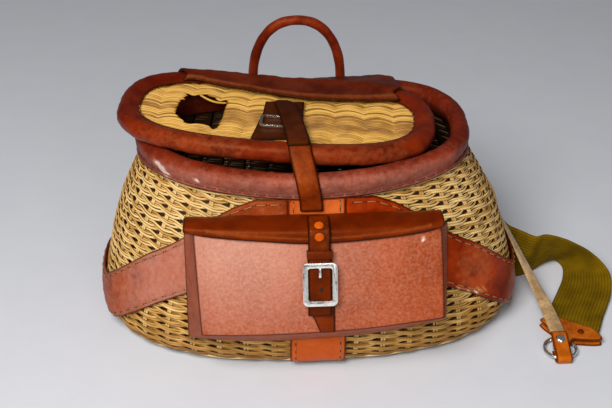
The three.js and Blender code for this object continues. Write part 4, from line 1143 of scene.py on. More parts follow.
@dataclass(frozen=True)
class Plain:
    """Waxed linen thread, the painted shade in punched holes, and the studio's paper: one colour broken by a
    fine noise.
    """

    name: str
    colour: str
    other: str
    roughness: float = 0.7
    grain_mm: float = 0.8

    def material(self) -> bpy.types.Material:
        """Builds the finish.

        Returns:
            The new material.
        """
        material, tree, output = start_material(self.name)
        place = add_node(tree, "TexCoord").outputs["Object"]
        noise = add_node(tree, "TexNoise", {"Vector": place, "Scale": 1000 / self.grain_mm,
            "Detail": 3.0}).outputs["Fac"]
        colour = add_node(tree, "Mix", {0: noise, 6: linear(self.colour), 7: linear(self.other)},
            data_type="RGBA").outputs[2]
        shader = add_node(tree, "BsdfPrincipled", {"Base Color": colour, "Roughness": self.roughness})
        tree.links.new(shader.outputs[0], output.inputs[0])
        return material


class Finish(Enum):
    """Every finish on the creel, by the material it stands for."""

    WILLOW = Willow("peeled_willow_rod", "f0cf8c", "d0983c", "6e4010")
    LID_WILLOW = Willow("split_willow_skein", "dcaa4a", "ae7418", "4c2c08")
    RIM = Leather("oiled_rim_leather", "8c3014", "5e1606", "b87866", "3c0e04", rub=0.5, roughness=0.45)
    ROLL = Leather("rolled_lid_leather", "7e2608", "541004", "ac582e", "380c02", rub=0.3, roughness=0.38)
    BAND = Leather("oiled_harness_leather", "a4481e", "80300f", "c48c7c", "5a1e08", rub=0.6, roughness=0.46)
    DARK_BAND = Leather("burnished_band_leather", "ac3606", "6c1604", "c07040", "480e04", rub=0.25,
        roughness=0.36)
    TOP_BAND = Leather("orange_band_leather", "dc6a2e", "bc4e18", "dc8a66", "5a1e08", rub=0.15,
        roughness=0.45)
    POCKET = Leather("rubbed_pocket_leather", "a84a22", "903810", "cf9a86", "501c08", rub=0.8, roughness=0.5,
        cloud_mm=48, fleck_mm=2.6)
    FLAP = Leather("chestnut_flap_leather", "762400", "5a1800", "98481a", "260a02", rub=0.2, roughness=0.4)
    HINGE = Leather("creased_hinge_leather", "6e260a", "481004", "985028", "300c02", rub=0.3, crease_mm=3)
    LID_STRAP = Leather("dark_strap_leather", "542004", "341002", "783814", "1e0800", rub=0.25,
        roughness=0.55)
    STRAP = Leather("waxed_strap_leather", "8c3406", "5e1c04", "ac6030", "361004", rub=0.25, roughness=0.4)
    DARK_STRAP = Leather("oiled_buckle_strap_leather", "702400", "401004", "a4521c", "260a02", rub=0.25,
        roughness=0.4)
    HANDLE = Leather("rolled_handle_leather", "842a0e", "581606", "a85236", "360e04", rub=0.25,
        roughness=0.36)
    TAB = Leather("orange_tab_leather", "d06a10", "9a4406", "dc9048", "521e04", rub=0.3, roughness=0.4)
    COPPER = Leather("dyed_rivet_cap_leather", "d8600c", "b84808", "e88430", "7a3006", rub=0.2,
        roughness=0.35)
    SUEDE = Suede("flesh_side_leather", "a07c4e", "d0aa76")
    WEBBING = CottonWebbing("olive_cotton_webbing", "6c5200", "886a02")
    NICKEL = Nickel("tumbled_nickel_plate", "f8f5ec", "cfc9bc", 0.2)
    DARK_WIRE = Nickel("tarnished_wire", "d4ccb8", "5c5448", 0.22)
    THREAD = Plain("waxed_linen_thread", "b8854c", "8a5c2c", 0.65)
    DARK_THREAD = Plain("dyed_linen_thread", "7c3c1c", "5a2410", 0.65)
    # Painted shade: a near-black patch for the dark inside of a punched hole
    HOLE_SHADE = Plain("punched_hole_shade", "180a04", "26100a", 0.9)
    PAPER = Plain("studio_paper", "e0e3ea", "dadde4", 0.85, 40)


class FinishRack:
    """Hands out each finish's material, made once."""

    def __init__(self) -> None:
        """Starts with no material made."""
        self.made: dict[Finish, bpy.types.Material] = {}

    def get(self, finish: Finish) -> bpy.types.Material:
        """The material of a finish.

        Args:
            finish: The finish.

        Returns:
            Its material.
        """
        if finish not in self.made:
            self.made[finish] = finish.value.material()
        return self.made[finish]


@dataclass
class Workshop:
    """What every sub-assembly works with: the wall, the lid, the finishes, and the way to mount a piece."""

    wall: WovenWall = field(default_factory=WovenWall)
    lid: LidShape = field(default_factory=LidShape)
    rack: FinishRack = field(default_factory=FinishRack)

    def mount(self, name: str, shell: Shell, finish: Finish,
            replaces: Sequence[str] = ()) -> bpy.types.Object:
        """Makes a piece, lets it ride on the creel's one body and hides the CAD nodes that it stands for.

        Args:
            name: The piece's name.
            shell: Its arrays.
            finish: Its finish.
            replaces: CAD nodes that it stands for.

        Returns:
            The new object.
        """
        obj = make_mesh(name, shell, self.rack.get(finish))
        self.enlist(obj, replaces)
        return obj

    def enlist(self, obj: bpy.types.Object, replaces: Sequence[str] = ()) -> None:
        """Lets an object ride, hides the nodes that it replaces, and logs its name and face count.

        Args:
            obj: The piece.
            replaces: CAD nodes that it stands for.
        """
        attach(obj, "root")
        if replaces:
            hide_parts(*replaces)
        log.info("%s: %d faces", obj.name, len(obj.data.polygons))

    def sew(self, name: str, runs: Sequence[tuple[Shell, Shell]], slot: str,
            thread: Finish = Finish.THREAD) -> None:
        """Mounts the thread and the holes of several runs of stitches as two pieces.

        Args:
            name: The thread's name.
            runs: Thread and holes of each run.
            slot: Not used.
            thread: The thread's finish.
        """
        self.mount(name, together([sewn for sewn, _ in runs]), thread)
        self.mount(f"{name}_holes", together([holes for _, holes in runs]), Finish.HOLE_SHADE)


def together(shells: Sequence[Shell]) -> Shell:
    """Several shells as one."""
    return functools.reduce(Shell.joined, shells)


def painted(shell: Shell, wear_and_highlight: np.ndarray | float = 0.0, dirt_and_shade: np.ndarray | float = 0.0) -> Shell:
    """Adds the paint values "wear_and_highlight" and "dirt_and_shade" to a shell.

    Args:
        shell: The shell.
        wear_and_highlight: How rubbed each point is; painted highlights ride on it too.
        dirt_and_shade: How dark each point is, from dirt and from painted shade.

    Returns:
        The same shell.
    """
    shell.paint["wear_and_highlight"] = np.broadcast_to(wear_and_highlight, len(shell.points)).astype(float).copy()
    shell.paint["dirt_and_shade"] = np.broadcast_to(dirt_and_shade, len(shell.points)).astype(float).copy()
    return shell


def blob(points: np.ndarray, x: float, z: float, size_x: float, size_z: float) -> np.ndarray:
    """A soft spot seen from the front: 1 in its middle and 0 outside its size."""
    far = ((points[:, 0] - x) / size_x) ** 2 + ((points[:, 2] - z) / size_z) ** 2
    return np.clip(1.4 - far, 0, 1)


# The basket


@dataclass
class Basket:
    """The woven body: two plies of paired rods twined round double stakes, plain rounds at foot and rim."""

    stakes: int = 41
    pitch: float = 7.4
    rod_out: float = 0.9
    rod_side: float = 1.4
    swing: float = 1.85
    stake_radius: float = 1.2
    steps: int = 6
    foot: float = 6.5
    plain: float = 9.0
    splint_half: float = 9.5
    # How much darker each rod's far side is drawn: painted shade
    shade_and_stain: float = 2.6

    def places(self, shop: Workshop) -> tuple[np.ndarray, np.ndarray]:
        """Places round the basket, counted in stakes, and their turns."""
        place = np.arange(self.stakes * self.steps) / self.steps
        return place, shop.wall.even_turns(place / self.stakes, 60)

    def strand(self, wall: WovenWall, turn: np.ndarray, z: np.ndarray, out: np.ndarray) -> tuple[np.ndarray,
            np.ndarray]:
        """A rod's middle line and its way out, with the uneven rows of hand weaving.

        Args:
            wall: The woven wall.
            turn: Turns along the rod.
            z: Its heights.
            out: Its distances outward.

        Returns:
            The points, and the way out at each.
        """
        flat = wall.point(turn, np.full_like(turn, 60.0), 0)
        flat[:, 2] = 1.6 * z
        steady = np.clip(np.minimum(z - 4, wall.height - z) / 20, 0, 1)
        z = z + 1.1 * ripple(flat, 120, 15) * steady
        here = wall.point(turn, z, out)
        return here, wall.point(turn, z, out + 5) - here

    def weavers(self, shop: Workshop, rows: np.ndarray, seed: int) -> Shell:
        """Rows of twined weavers round the wall.

        Args:
            shop: The workshop.
            rows: Numbers of the rows, from the base up.
            seed: Which uneven pattern to use.

        Returns:
            One shell.
        """
        wall = shop.wall
        rng = np.random.default_rng(seed)
        place, turn = self.places(shop)
        centres, outs, tones, sides = [], [], [], []
        for row in rows:
            low = max(0.0, 1 - row / 9)
            for ply in (0, 1):
                phase = math.pi * (place + ply + row)
                for side in (-1, 1):
                    lag = phase + side * rng.uniform(0.02, 0.16)
                    rise = -0.72 * np.sin(lag) * self.pitch / 4 + side * (1.16 - 0.14 * np.abs(np.cos(lag)))
                    wobble = 0.22 * np.sin(place * rng.uniform(0.8, 2.6) + rng.uniform(0, 6.3))
                    z = self.foot + (row + 0.5) * self.pitch + rise + wobble
                    out = -wall.thickness / 2 + self.swing * np.cos(lag) + 0.3 * wobble
                    here, way = self.strand(wall, turn, z, out)
                    centres.append(here)
                    outs.append(way)
                    # Painted shade: rows near the base get a darker tone
                    tones.append(rng.uniform(-0.34, 0.1) + rng.choice([0, 0, 0, 0.25]) + 0.8 * low)
                    sides.append(self.rod_side - 0.14 * low)
        return rods(np.array(centres), np.array(outs), self.rod_out, np.array(sides)[:, None], 6, True,
            np.array(tones), self.shade_and_stain)

    def rounds(self, shop: Workshop) -> Shell:
        """Close-packed rounds at the foot and under the rim.

        Args:
            shop: The workshop.

        Returns:
            One shell.
        """
        wall = shop.wall
        rng = np.random.default_rng(14)
        place, turn = self.places(shop)
        heights = [*np.arange(0.9, self.foot, 1.75), *np.arange(wall.height - self.plain,
            wall.height + 1, 1.8)]
        centres, outs, tones = [], [], []
        for number, height in enumerate(heights):
            swell = np.cos(math.pi * place * 2 / 3 + number * 2.1)
            z = height + 0.3 * swell + 0.2 * np.sin(place * rng.uniform(0.5, 2) + rng.uniform(0, 6.3))
            out = -1.4 + 0.5 * swell
            here, way = self.strand(wall, turn, z, out)
            centres.append(here)
            outs.append(way)
            tones.append(rng.uniform(-0.25, 0.2))
        return rods(np.array(centres), np.array(outs), 0.95, 1.05, 6, True, np.array(tones), self.shade_and_stain)

    def uprights(self, shop: Workshop) -> Shell:
        """The double stakes from the base to the rim.

        Args:
            shop: The workshop.

        Returns:
            One shell.
        """
        wall = shop.wall
        rng = np.random.default_rng(5)
        heights = np.linspace(4, wall.height + 2, 40)
        centres, outs, tones = [], [], []
        for stake in range(self.stakes):
            for side in (-1, 1):
                share = (stake + side * 0.052 + rng.uniform(-0.012, 0.012)) / self.stakes
                turn = np.full_like(heights, wall.even_turns(np.array([share]), 60)[0])
                here = wall.point(turn, heights, -wall.thickness / 2 + 0.1)
                centres.append(here)
                outs.append(wall.point(turn, heights, 5) - here)
                tones.append(rng.uniform(-0.1, 0.25))
        return rods(np.array(centres), np.array(outs), self.stake_radius * 0.85, self.stake_radius, 6, False,
            np.array(tones), self.shade_and_stain)

    def backing(self, shop: Workshop) -> Shell:
        """A flat split rod behind each pair of stakes, which closes the openings beside them; painted shade,
        drawn nearly black.

        Args:
            shop: The workshop.

        Returns:
            One shell.
        """
        wall = shop.wall
        heights = np.linspace(5, wall.height + 1, 40)
        turns = wall.even_turns(np.arange(self.stakes) / self.stakes, 60)
        turn = np.broadcast_to(turns[:, None], (self.stakes, len(heights)))
        z = np.broadcast_to(heights, turn.shape)
        here = wall.point(turn, z, -wall.thickness / 2 - 1.5)
        # Painted shade: a tone of 2.4 turns the splints nearly black
        return rods(here, wall.point(turn, z, 5) - here, 0.45, self.splint_half, 8, False,
            np.full(self.stakes, 2.4))

    def floor_rounds(self, shop: Workshop) -> Shell:
        """The base: rounds of paired weavers over spokes, drawn from the outline at the foot.

        Args:
            shop: The workshop.

        Returns:
            One shell.
        """
        wall = shop.wall
        rng = np.random.default_rng(8)
        place = np.arange(self.stakes * 4) / 4
        turn = wall.even_turns(place / self.stakes, 3)
        foot = wall.point(turn, np.full_like(turn, 2.0), -2.5)
        shares = np.arange(0.05, 1.0, 0.045)
        centres, tones = [], []
        for row, share in enumerate(shares):
            for strand in (-1, 1):
                weave = np.cos(math.pi * (place + row))
                size = share + strand * 0.0105
                here = foot * np.array([size, size, 0]) + np.array([0, 0, 3.0])
                here[:, 2] += 1.1 * weave
                centres.append(here)
                tones.append(rng.uniform(-0.1, 0.3))
        centres = np.array(centres)
        down = np.broadcast_to(np.array([0, 0, -1.0]), centres.shape)
        return rods(centres, down, 0.8, 1.25, 6, True, np.array(tones), self.shade_and_stain)

    def spokes(self, shop: Workshop) -> Shell:
        """The base's spokes from its middle out to the foot.

        Args:
            shop: The workshop.

        Returns:
            One shell.
        """
        wall = shop.wall
        turn = wall.even_turns(np.arange(0, self.stakes) / self.stakes, 3)
        foot = wall.point(turn, np.full_like(turn, 2.5), -3)
        shares = np.linspace(0.04, 1.0, 12)
        centres = foot[:, None, :] * shares[None, :, None]
        centres[:, :, 2] = 3.0
        down = np.broadcast_to(np.array([0, 0, -1.0]), centres.shape)
        return rods(centres, down, 1.1, 1.6, 6, False, np.full(len(centres), 0.1))

    def dress(self, shop: Workshop) -> None:
        """Mounts the weavers, stakes and base.

        Args:
            shop: The workshop.
        """
        total = int((shop.wall.height - self.foot - self.plain + 2) / self.pitch)
        rows = np.arange(total)
        shop.mount("weavers_lower", self.weavers(shop, rows[: total // 2], 11), Finish.WILLOW,
            ["basket_shell"])
        shop.mount("weavers_upper", self.weavers(shop, rows[total // 2 :], 12), Finish.WILLOW)
        more = {"plain_rounds": self.rounds, "stakes": self.uprights, "shade_splints": self.backing,
            "base_rounds": self.floor_rounds, "base_spokes": self.spokes}
        for name, make in more.items():
            shop.mount(name, make(shop), Finish.WILLOW)


@dataclass
class RimBinding:
    """The padded leather roll over the wall's top, with a stitched flap outside and inside."""

    roll: float = 8.5
    flap: float = 6
    stations: int = 300

    @property
    def middle_out(self) -> float:
        """How far the roll's middle lies outside the wall."""
        return -3.0

    def middle_height(self, wall: WovenWall) -> float:
        """Height of the roll's middle."""
        return wall.height + self.roll - 0.5

    def outer(self, shop: Workshop, turn: np.ndarray, up: float) -> np.ndarray:
        """The flap's outer face at a height above its lower edge."""
        out = SEAT + BINDING_THICKNESS + 0.1 * up
        return shop.wall.point(turn, shop.wall.height - self.flap + up, out)

    def dress(self, shop: Workshop) -> None:
        """Mounts the binding and its stitches.

        Args:
            shop: The workshop.
        """
        wall = shop.wall
        top = wall.height
        arc = [(self.middle_out + self.roll * math.cos(a),
            self.middle_height(wall) + self.roll * math.sin(a))
            for a in np.radians(np.linspace(-15, 200, 16))]
        profile = [(SEAT, top - self.flap + 0.3), (SEAT + 1, top - self.flap - 0.3),
            (SEAT + 2.2, top - self.flap + 0.1), (SEAT + 2.6, top - self.flap + 1.6),
            (SEAT + 2.5, top - self.flap + 3.2), (SEAT + 2.3, top - self.flap + 4.2),
            (SEAT + 2.8, top - self.flap + 5.6), (SEAT + 4.2, top + 2.2), *arc, (-8.9, top + 1),
            (-8.6, top - 5.4), (-7.6, top - 6), (-6.7, top - 5.6), (-6.7, top - 1), (-6.7, top + GAP),
            (-3, top + GAP), (SEAT, top + GAP), (SEAT, top - 3)]
        turn = np.linspace(0, 360, self.stations, endpoint=False)
        out = np.array([p[0] for p in profile])
        z = np.array([p[1] for p in profile])
        points = wall.point(turn[:, None], z[None, :], out[None, :])
        way = wall.point(turn[:, None], z[None, :], out[None, :] + 1) - points
        above = np.clip((z - (top - self.flap)) / 6, 0, 1)[None, :, None]
        lumps = 0.55 * ripple(points, 34, 3) + 0.22 * ripple(points, 9, 4)
        points = points + way * lumps[..., None] * above
        shell = hoop(points)
        flat = shell.points
        low = np.tile(np.abs(z - (top - self.flap)), len(turn))
        shell.paint["edge"] = np.where(np.tile(out, len(turn)) > 0, low, 20.0)
        front = np.clip((-flat[:, 1] - 20) / 50, 0, 1) * np.clip((200 - flat[:, 2]) / 14, 0, 1)
        face = np.clip((190.5 - flat[:, 2]) / 6, 0, 1)
        drops = sum(2.4 * blob(flat, x, z, size, size) for x, z, size in ((-138, 183, 3.4), (-133, 180, 3),
            (-130, 175, 3.2), (-134, 178, 2.4), (-103, 177, 2)))
        # Painted shade: the top of the roll, under the lid's roll, is drawn darker; the sides and back are
        # darker too, and the front face is rubbed paler and carries a few drops of whitewash
        painted(shell, 0.3 * front * face + drops * front, 0.5 * (1 - front) + 0.15 * (1 - face))
        shop.mount("rim_leather", shell, Finish.RIM, ["rim_binding"])
        turns = np.linspace(178, 382, 900)
        seam = self.outer(shop, turns, 3.6)
        out_way = self.outer(shop, turns, 3.6) - shop.wall.point(turns, wall.height - self.flap + 3.6, 0)
        shop.sew("rim_stitches", [stitches(seam + 0.25 * unit(out_way), unit(out_way), 11, 0.72, 0.5, 0.5)],
            "leather", Finish.DARK_THREAD)


# The lid


@dataclass
class Lid:
    """The woven lid with its bound edge, fish hole, leather patch, strap and wire buckle."""

    row_pitch: float = 2.9
    rod_out: float = 1.2
    rod_side: float = 1.3
    stake_pitch: float = 27
    swing: float = 2.5
    # How much darker each rod's underside is drawn: painted shade
    shade_and_stain: float = 1.2
    edge: float = 13
    square: float = 2.7
    shortest: int = 4
    strap_width: float = 19
    strap_top: float = -12.5
    strap_foot: float = -3
    patch_thickness: float = 2
    wire: float = 2.6

    def inside_hole(self, across: np.ndarray, along: float, lid: LidShape) -> np.ndarray:
        """Whether places on a line across the lid lie inside the fish hole.

        Args:
            across: Places across the lid.
            along: The line's distance to the back.
            lid: The lid's shape.

        Returns:
            True for each place inside it.
        """
        hits = np.zeros(len(across), bool)
        count = len(FISH_HOLE)
        for i in range(count):
            a, b = FISH_HOLE[i], FISH_HOLE[(i + 1) % count]
            ya, yb = a.along * lid.half_depth, b.along * lid.half_depth
            if (ya > along) != (yb > along):
                x = a.across * lid.half_width + (along - ya) / (yb - ya) * (b.across
                    - a.across) * lid.half_width
                hits ^= across < x
        return hits

    def half_span(self, place: float, length: float, width: float) -> float:
        """Half the length of a straight rod across the lid's rounded outline.

        Args:
            place: The rod's distance from the lid's middle line.
            length: Half the lid's size along the rod.
            width: Half its size across the rod.

        Returns:
            Half the rod's length.
        """
        share = min(1, abs(place) / (width - self.edge + 1))
        return (length - self.edge) * (1 - share ** self.square) ** (1 / self.square)

    def runs(self, points: np.ndarray, inside: np.ndarray) -> list[tuple[np.ndarray, np.ndarray]]:
        """The stretches of a rod outside the fish hole.

        Args:
            points: Points along the rod.
            inside: Which of them lie inside the hole.

        Returns:
            Each stretch's points, and the way up at each.
        """
        ends = np.flatnonzero(np.diff(np.concatenate(([True], inside, [True])).astype(int)))
        parts = [points[None, a:b] for a, b in zip(ends[::2], ends[1::2]) if b - a >= self.shortest]
        return [(part, np.broadcast_to(np.array([0, 0, 1.0]), part.shape)) for part in parts]

    def skeins(self, shop: Workshop) -> Shell:
        """Rods across the lid, in pairs, that wave over and under its stakes and stop at the hole.

        Args:
            shop: The workshop.

        Returns:
            One shell.
        """
        lid = shop.lid
        rng = np.random.default_rng(21)
        reach = lid.half_depth - self.edge
        shells = []
        for number, along in enumerate(np.arange(-reach, reach, self.row_pitch)):
            half = self.half_span(along, lid.half_width, lid.half_depth)
            across = np.arange(-half, half, 2.4)
            open_ = self.inside_hole(across, along + rng.uniform(-1.5, 1.5), lid)
            lag = 1.2 * math.sin(along / 14) + 0.5 * (number % 2) + rng.uniform(-0.5, 0.5)
            arch = np.abs(np.sin(math.pi * (across + lag) / self.stake_pitch)) ** 0.75
            wobble = 0.5 * np.sin(across / 17 + rng.uniform(0, 6))
            wobble = wobble + 0.3 * np.sin(across / 6 + rng.uniform(0, 6))
            steady = 1 - (along / reach) ** 4
            sway = 1.5 * (arch - 0.5) + 1.2 * np.sin(across / 41) + 0.3 * wobble
            points = lid.point(across, along + sway * steady, self.swing * (arch - 0.5) + 0.25 * wobble)
            for run, up in self.runs(points, open_):
                tone = np.array([rng.uniform(-0.5, 0.4) + 0.2 * (number % 2)])
                shells.append(rods(run, up, self.rod_out, self.rod_side, 8, False, tone, self.shade_and_stain))
        return together(shells)

    def lid_stakes(self, shop: Workshop) -> Shell:
        """The lid's stakes, from its front to its back, left out over the hole.

        Args:
            shop: The workshop.

        Returns:
            One shell.
        """
        lid = shop.lid
        reach = lid.half_width - 14
        shells = []
        for across in np.arange(-reach + 4, reach, self.stake_pitch):
            half = self.half_span(across, lid.half_depth, lid.half_width)
            along = np.arange(-half, half, 3.0)
            open_ = np.array([self.inside_hole(np.array([across]), a, lid)[0] for a in along])
            points = lid.point(np.full_like(along, across), along, np.full_like(along, 0.0))
            for run, up in self.runs(points, open_):
                shells.append(rods(run, up, 1.0, 1.6, 6, False, np.array([0.2])))
        return together(shells)

    def broken_rod(self, shop: Workshop) -> Shell:
        """The one broken rod that still crosses the hole's rear right corner.

        Args:
            shop: The workshop.

        Returns:
            One shell.
        """
        lid = shop.lid
        share = np.linspace(0, 1, 14)
        across = (-0.53 + 0.2 * share) * lid.half_width
        along = (0.4 - 0.19 * share) * lid.half_depth
        run = lid.point(across, along, 1.2 - 3 * np.sin(math.pi * share))[None]
        up = np.broadcast_to(np.array([0, 0, 1.0]), run.shape)
        return rods(run, up, 0.9, 1.3, 6, False, np.array([0.0]))

    def binding(self, shop: Workshop) -> Shell:
        """The padded roll round the lid with a lip above and below.

        Args:
            shop: The workshop.

        Returns:
            One shell.
        """
        lid = shop.lid
        half = lid.wall / 2 + 1.0
        arc = [(lid.roll * math.cos(a), lid.roll * math.sin(a))
            for a in np.radians(np.linspace(-116, 116, 22))]
        profile = [(-3, half), (-3, -half), (-10.5, -half - 0.2), (-11.4, -half - 0.9), (-10.6, -half - 1.8),
            (-8, -half - 2.2), *arc, (-8, half + 2.2), (-10.6, half + 1.8), (-11.4, half + 0.9),
            (-10.5, half + 0.2)]
        turn = np.linspace(0, 360, 280, endpoint=False)
        out = np.array([p[0] for p in profile])
        up = np.array([p[1] for p in profile])
        points = lid.edge(turn[:, None], lid.roll - out[None, :], up[None, :])
        centre = lid.edge(turn[:, None], np.full((1, len(out)), lid.roll), np.zeros((1, len(out))))
        way = unit(points - centre)
        lumps = 0.5 * ripple(points, 30, 31) + 0.25 * ripple(points, 8, 32)
        points = points + way * lumps[..., None] * (np.abs(np.hypot(out, up) - lid.roll) < 0.5)[None, :, None]
        shell = hoop(points)
        flat = shell.points
        lip = np.tile(np.abs(out + 11.4), len(turn))
        shell.paint["edge"] = lip
        front = np.clip((-flat[:, 1] - 10) / 40, 0, 1)
        painted(shell, 0.16 * front * (np.sin(flat[:, 0] / 23) > -0.4),
            0.45 * np.clip((flat[:, 1] + 30) / 60, 0, 1))
        return shell

    def strap(self, shop: Workshop) -> Shell:
        """The strap over the lid, down to where it passes over the lid's roll.

        Args:
            shop: The workshop.

        Returns:
            One shell.
        """
        lid = shop.lid
        half = self.strap_width / 2 / lid.half_width
        top = lid.wall / 2 + GAP + self.patch_thickness
        ways = np.linspace(-1, 1, 9)
        rows = [lid.place(p.across + ways * half * p.width, np.full_like(ways, p.along),
            top + 1.3 * GAP + p.rise * (self.wire + 2 * GAP)) for p in LID_STRAP_ROUTE]
        turn = lid.turn_at(self.strap_top - 1, False)
        radius = lid.roll + STRAP_THICKNESS + 6 * GAP
        for angle in (108, 84, 62):
            a = math.radians(angle)
            p = lid.edge(turn, lid.roll - radius * math.cos(a), radius * math.sin(a))
            rows.append(p[None, :] + stacked(ways * self.strap_width / 2, 0 * ways, 0 * ways))
        grid = np.swapaxes(resample(np.swapaxes(np.array(rows), 0, 1), 48), 0, 1)
        shell = plate(grid, STRAP_THICKNESS, 0.15 * ripple(grid, 14, 41))
        y = shell.points[:, 1]
        return painted(shell, 0.05, 0.75 * np.clip((y + 40) / 55, 0, 1))

    def closing(self, shop: Workshop) -> Shell:
        """The strap from under the lid strap over both rolls and down to the pocket.

        Args:
            shop: The workshop.

        Returns:
            One shell.
        """
        lid, wall = shop.lid, shop.wall
        lid_radius = lid.roll + 4 * GAP
        rim = RimBinding()
        rim_radius = rim.roll + 2 * GAP
        turn = lid.turn_at(self.strap_top, False)
        rows = []
        for angle in (118, 90, 68, 48):
            a = math.radians(angle)
            rows.append(lid.edge(turn, lid.roll - lid_radius * math.cos(a), lid_radius * math.sin(a)))

        def at(share: float, z: float, out: float) -> np.ndarray:
            """A place on the wall's front below the strap's top, a share of the way to its foot."""
            return wall.front_point(self.strap_top + share * (self.strap_foot - self.strap_top), z, out)

        for angle in (42, 20, 0):
            a = math.radians(angle)
            rows.append(at(0.58 + (42 - angle) / 300, rim.middle_height(wall) + rim_radius * math.sin(a),
                rim.middle_out + rim_radius * math.cos(a)))
        out = SEAT + BINDING_THICKNESS + 8 * GAP
        rows += [at(0.84, wall.height + 1, out + 0.8), at(0.94, wall.height - 6, out),
            at(1, Pocket().flap_seat + 5.4, out - 0.6)]
        ways = np.linspace(-1, 1, 9) * self.strap_width / 2
        grid = np.array([[p + np.array([w, 0, 0]) for w in ways] for p in np.array(rows).reshape(-1, 3)])
        grid = np.swapaxes(resample(np.swapaxes(grid, 0, 1), 50), 0, 1)
        shell = plate(grid, STRAP_THICKNESS, 0.15 * ripple(grid, 12, 42))
        return painted(shell, 0.05, 0.25 * np.clip((shell.points[:, 2] - 190) / 16, 0, 1))

    def patch(self, shop: Workshop) -> Shell:
        """The leather patch under the lid's buckle.

        Args:
            shop: The workshop.

        Returns:
            One shell.
        """
        lid = shop.lid
        rows = ((0.274, -0.062, 0.178), (-0.016, -0.082, 0.164), (-0.332, -0.123, 0.151),
            (-0.595, -0.158, 0.164), (-0.674, -0.168, 0.176))
        seat = lid.wall / 2 + GAP + 0.2
        along = np.array([r[0] for r in rows])
        at = np.linspace(along[0], along[-1], 30)
        left = np.interp(-at, -along, [r[1] for r in rows])
        right = np.interp(-at, -along, [r[2] for r in rows])
        ways = np.linspace(0, 1, 18)
        grid = lid.place(left[:, None] + ways * (right - left)[:, None], np.broadcast_to(at[:, None],
            (30, 18)), seat)
        shell = plate(grid, self.patch_thickness, 0.2 * ripple(grid, 12, 43))
        return painted(shell, 0.05, 0.2)

    def dress(self, shop: Workshop) -> None:
        """Mounts the lid's pieces.

        Args:
            shop: The workshop.
        """
        shop.mount("lid_skeins", self.skeins(shop), Finish.LID_WILLOW, ["lid_panel"])
        shop.mount("lid_stakes", self.lid_stakes(shop), Finish.LID_WILLOW)
        shop.mount("lid_broken_rod", self.broken_rod(shop), Finish.LID_WILLOW)
        shop.mount("lid_roll", self.binding(shop), Finish.ROLL, ["lid_binding"])
        shop.mount("lid_buckle_patch", self.patch(shop), Finish.LID_STRAP, ["lid_patch"])
        shop.mount("lid_strap_leather", self.strap(shop), Finish.LID_STRAP, ["lid_strap"])
        shop.mount("closing_strap_leather", self.closing(shop), Finish.STRAP, ["closing_strap"])
        lid = shop.lid
        turns = np.concatenate([np.linspace(-172, -98, 260), np.linspace(-74, 22, 300)])
        inset = lid.roll + 11.0
        seam = lid.edge(turns, np.full_like(turns, inset), np.full_like(turns, lid.wall / 2 + 2.2))
        up = np.broadcast_to(np.array([0, 0, 1.0]), seam.shape)
        left, right = seam[:260], seam[260:]
        shop.sew("lid_stitches", [stitches(left, up[:260], 8, 0.7, 0.4), stitches(right, up[260:], 8, 0.7,
            0.4)], "leather")


# Hinge band and handle


@dataclass
class HingeBand:
    """The soft leather band from the lid over its roll and the rim's roll down to the back."""

    left: float = -117
    right: float = 86
    drop: float = 5
    clear: float = 1.3

    def grid(self, shop: Workshop) -> np.ndarray:
        """The band's underside: stations from left to right by points from the lid to the back.

        Args:
            shop: The workshop.

        Returns:
            Stations by points.
        """
        lid, wall = shop.lid, shop.wall
        rim = RimBinding()
        stations = []
        for share in np.linspace(0, 1, 61):
            x = self.left + share * (self.right - self.left)
            start = wall.back_depth * float(read_smooth(HINGE_EDGE, "along", "depth", share))
            lid_turn = lid.turn_at(x, True)
            wall_turn = float(wall.back_turn(x, wall.height))
            lid_radius = lid.roll + self.clear
            rim_radius = rim.roll + self.clear

            def over_lid(a: float) -> np.ndarray:
                """A place round the lid's roll."""
                return lid.edge(lid_turn, lid.roll - lid_radius * math.cos(a), lid_radius * math.sin(a))

            def over_rim(a: float) -> np.ndarray:
                """A place round the rim's roll."""
                return wall.point(wall_turn, rim.middle_height(wall) + rim_radius * math.sin(a),
                    rim.middle_out + rim_radius * math.cos(a))

            a, b = over_lid(math.pi / 2), over_rim(math.pi / 2)
            run = math.hypot(b[0] - a[0], b[1] - a[1])
            tangent = math.pi / 2 + math.atan2(b[2] - a[2], run if b[1] > a[1] else 1)
            leave = min(math.radians(100), max(math.radians(12), tangent))
            steep = max(leave, math.radians(118))
            first = over_lid(steep)
            edge = lid.point_at(x, min(start, first[1] - 6), lid.wall / 2 + 2.5 + 4 * GAP)
            stations.append([edge, (edge + first) / 2, first, over_lid((steep + leave) / 2), over_lid(leave),
                over_rim(leave), over_rim(leave / 2), over_rim(0), wall.point(wall_turn, wall.height + 2,
                SEAT + BINDING_THICKNESS + self.clear + 1), wall.point(wall_turn, wall.height - self.drop,
                SEAT + BINDING_THICKNESS + self.clear)])
        return resample(np.array(stations), 40)

    def dress(self, shop: Workshop) -> None:
        """Mounts the band.

        Args:
            shop: The workshop.
        """
        grid = self.grid(shop)
        share = np.linspace(0, 1, grid.shape[1])[None, :]
        x = grid[:, :, 0]
        creases = 0.35 * np.sin(x / 1.9 + 2.4 * np.sin(share * 9)) * np.clip(share * 6, 0, 1)
        bead = 1.1 * np.exp(-((share - 0.055) / 0.03) ** 2)
        shell = plate(grid, BAND_THICKNESS, creases * 0.6 + bead + 0.4 * ripple(grid, 22, 51))
        front = np.tile(share, (grid.shape[0], 1)).reshape(-1)
        edge_wear = 0.55 * np.exp(-((front - 0.06) / 0.035) ** 2)
        wear_and_highlight = np.concatenate([edge_wear, edge_wear, np.zeros(len(shell.points) - 2 * len(front))])
        painted(shell, wear_and_highlight, 0.15)
        shop.mount("hinge_leather", shell, Finish.HINGE, ["hinge_band"])


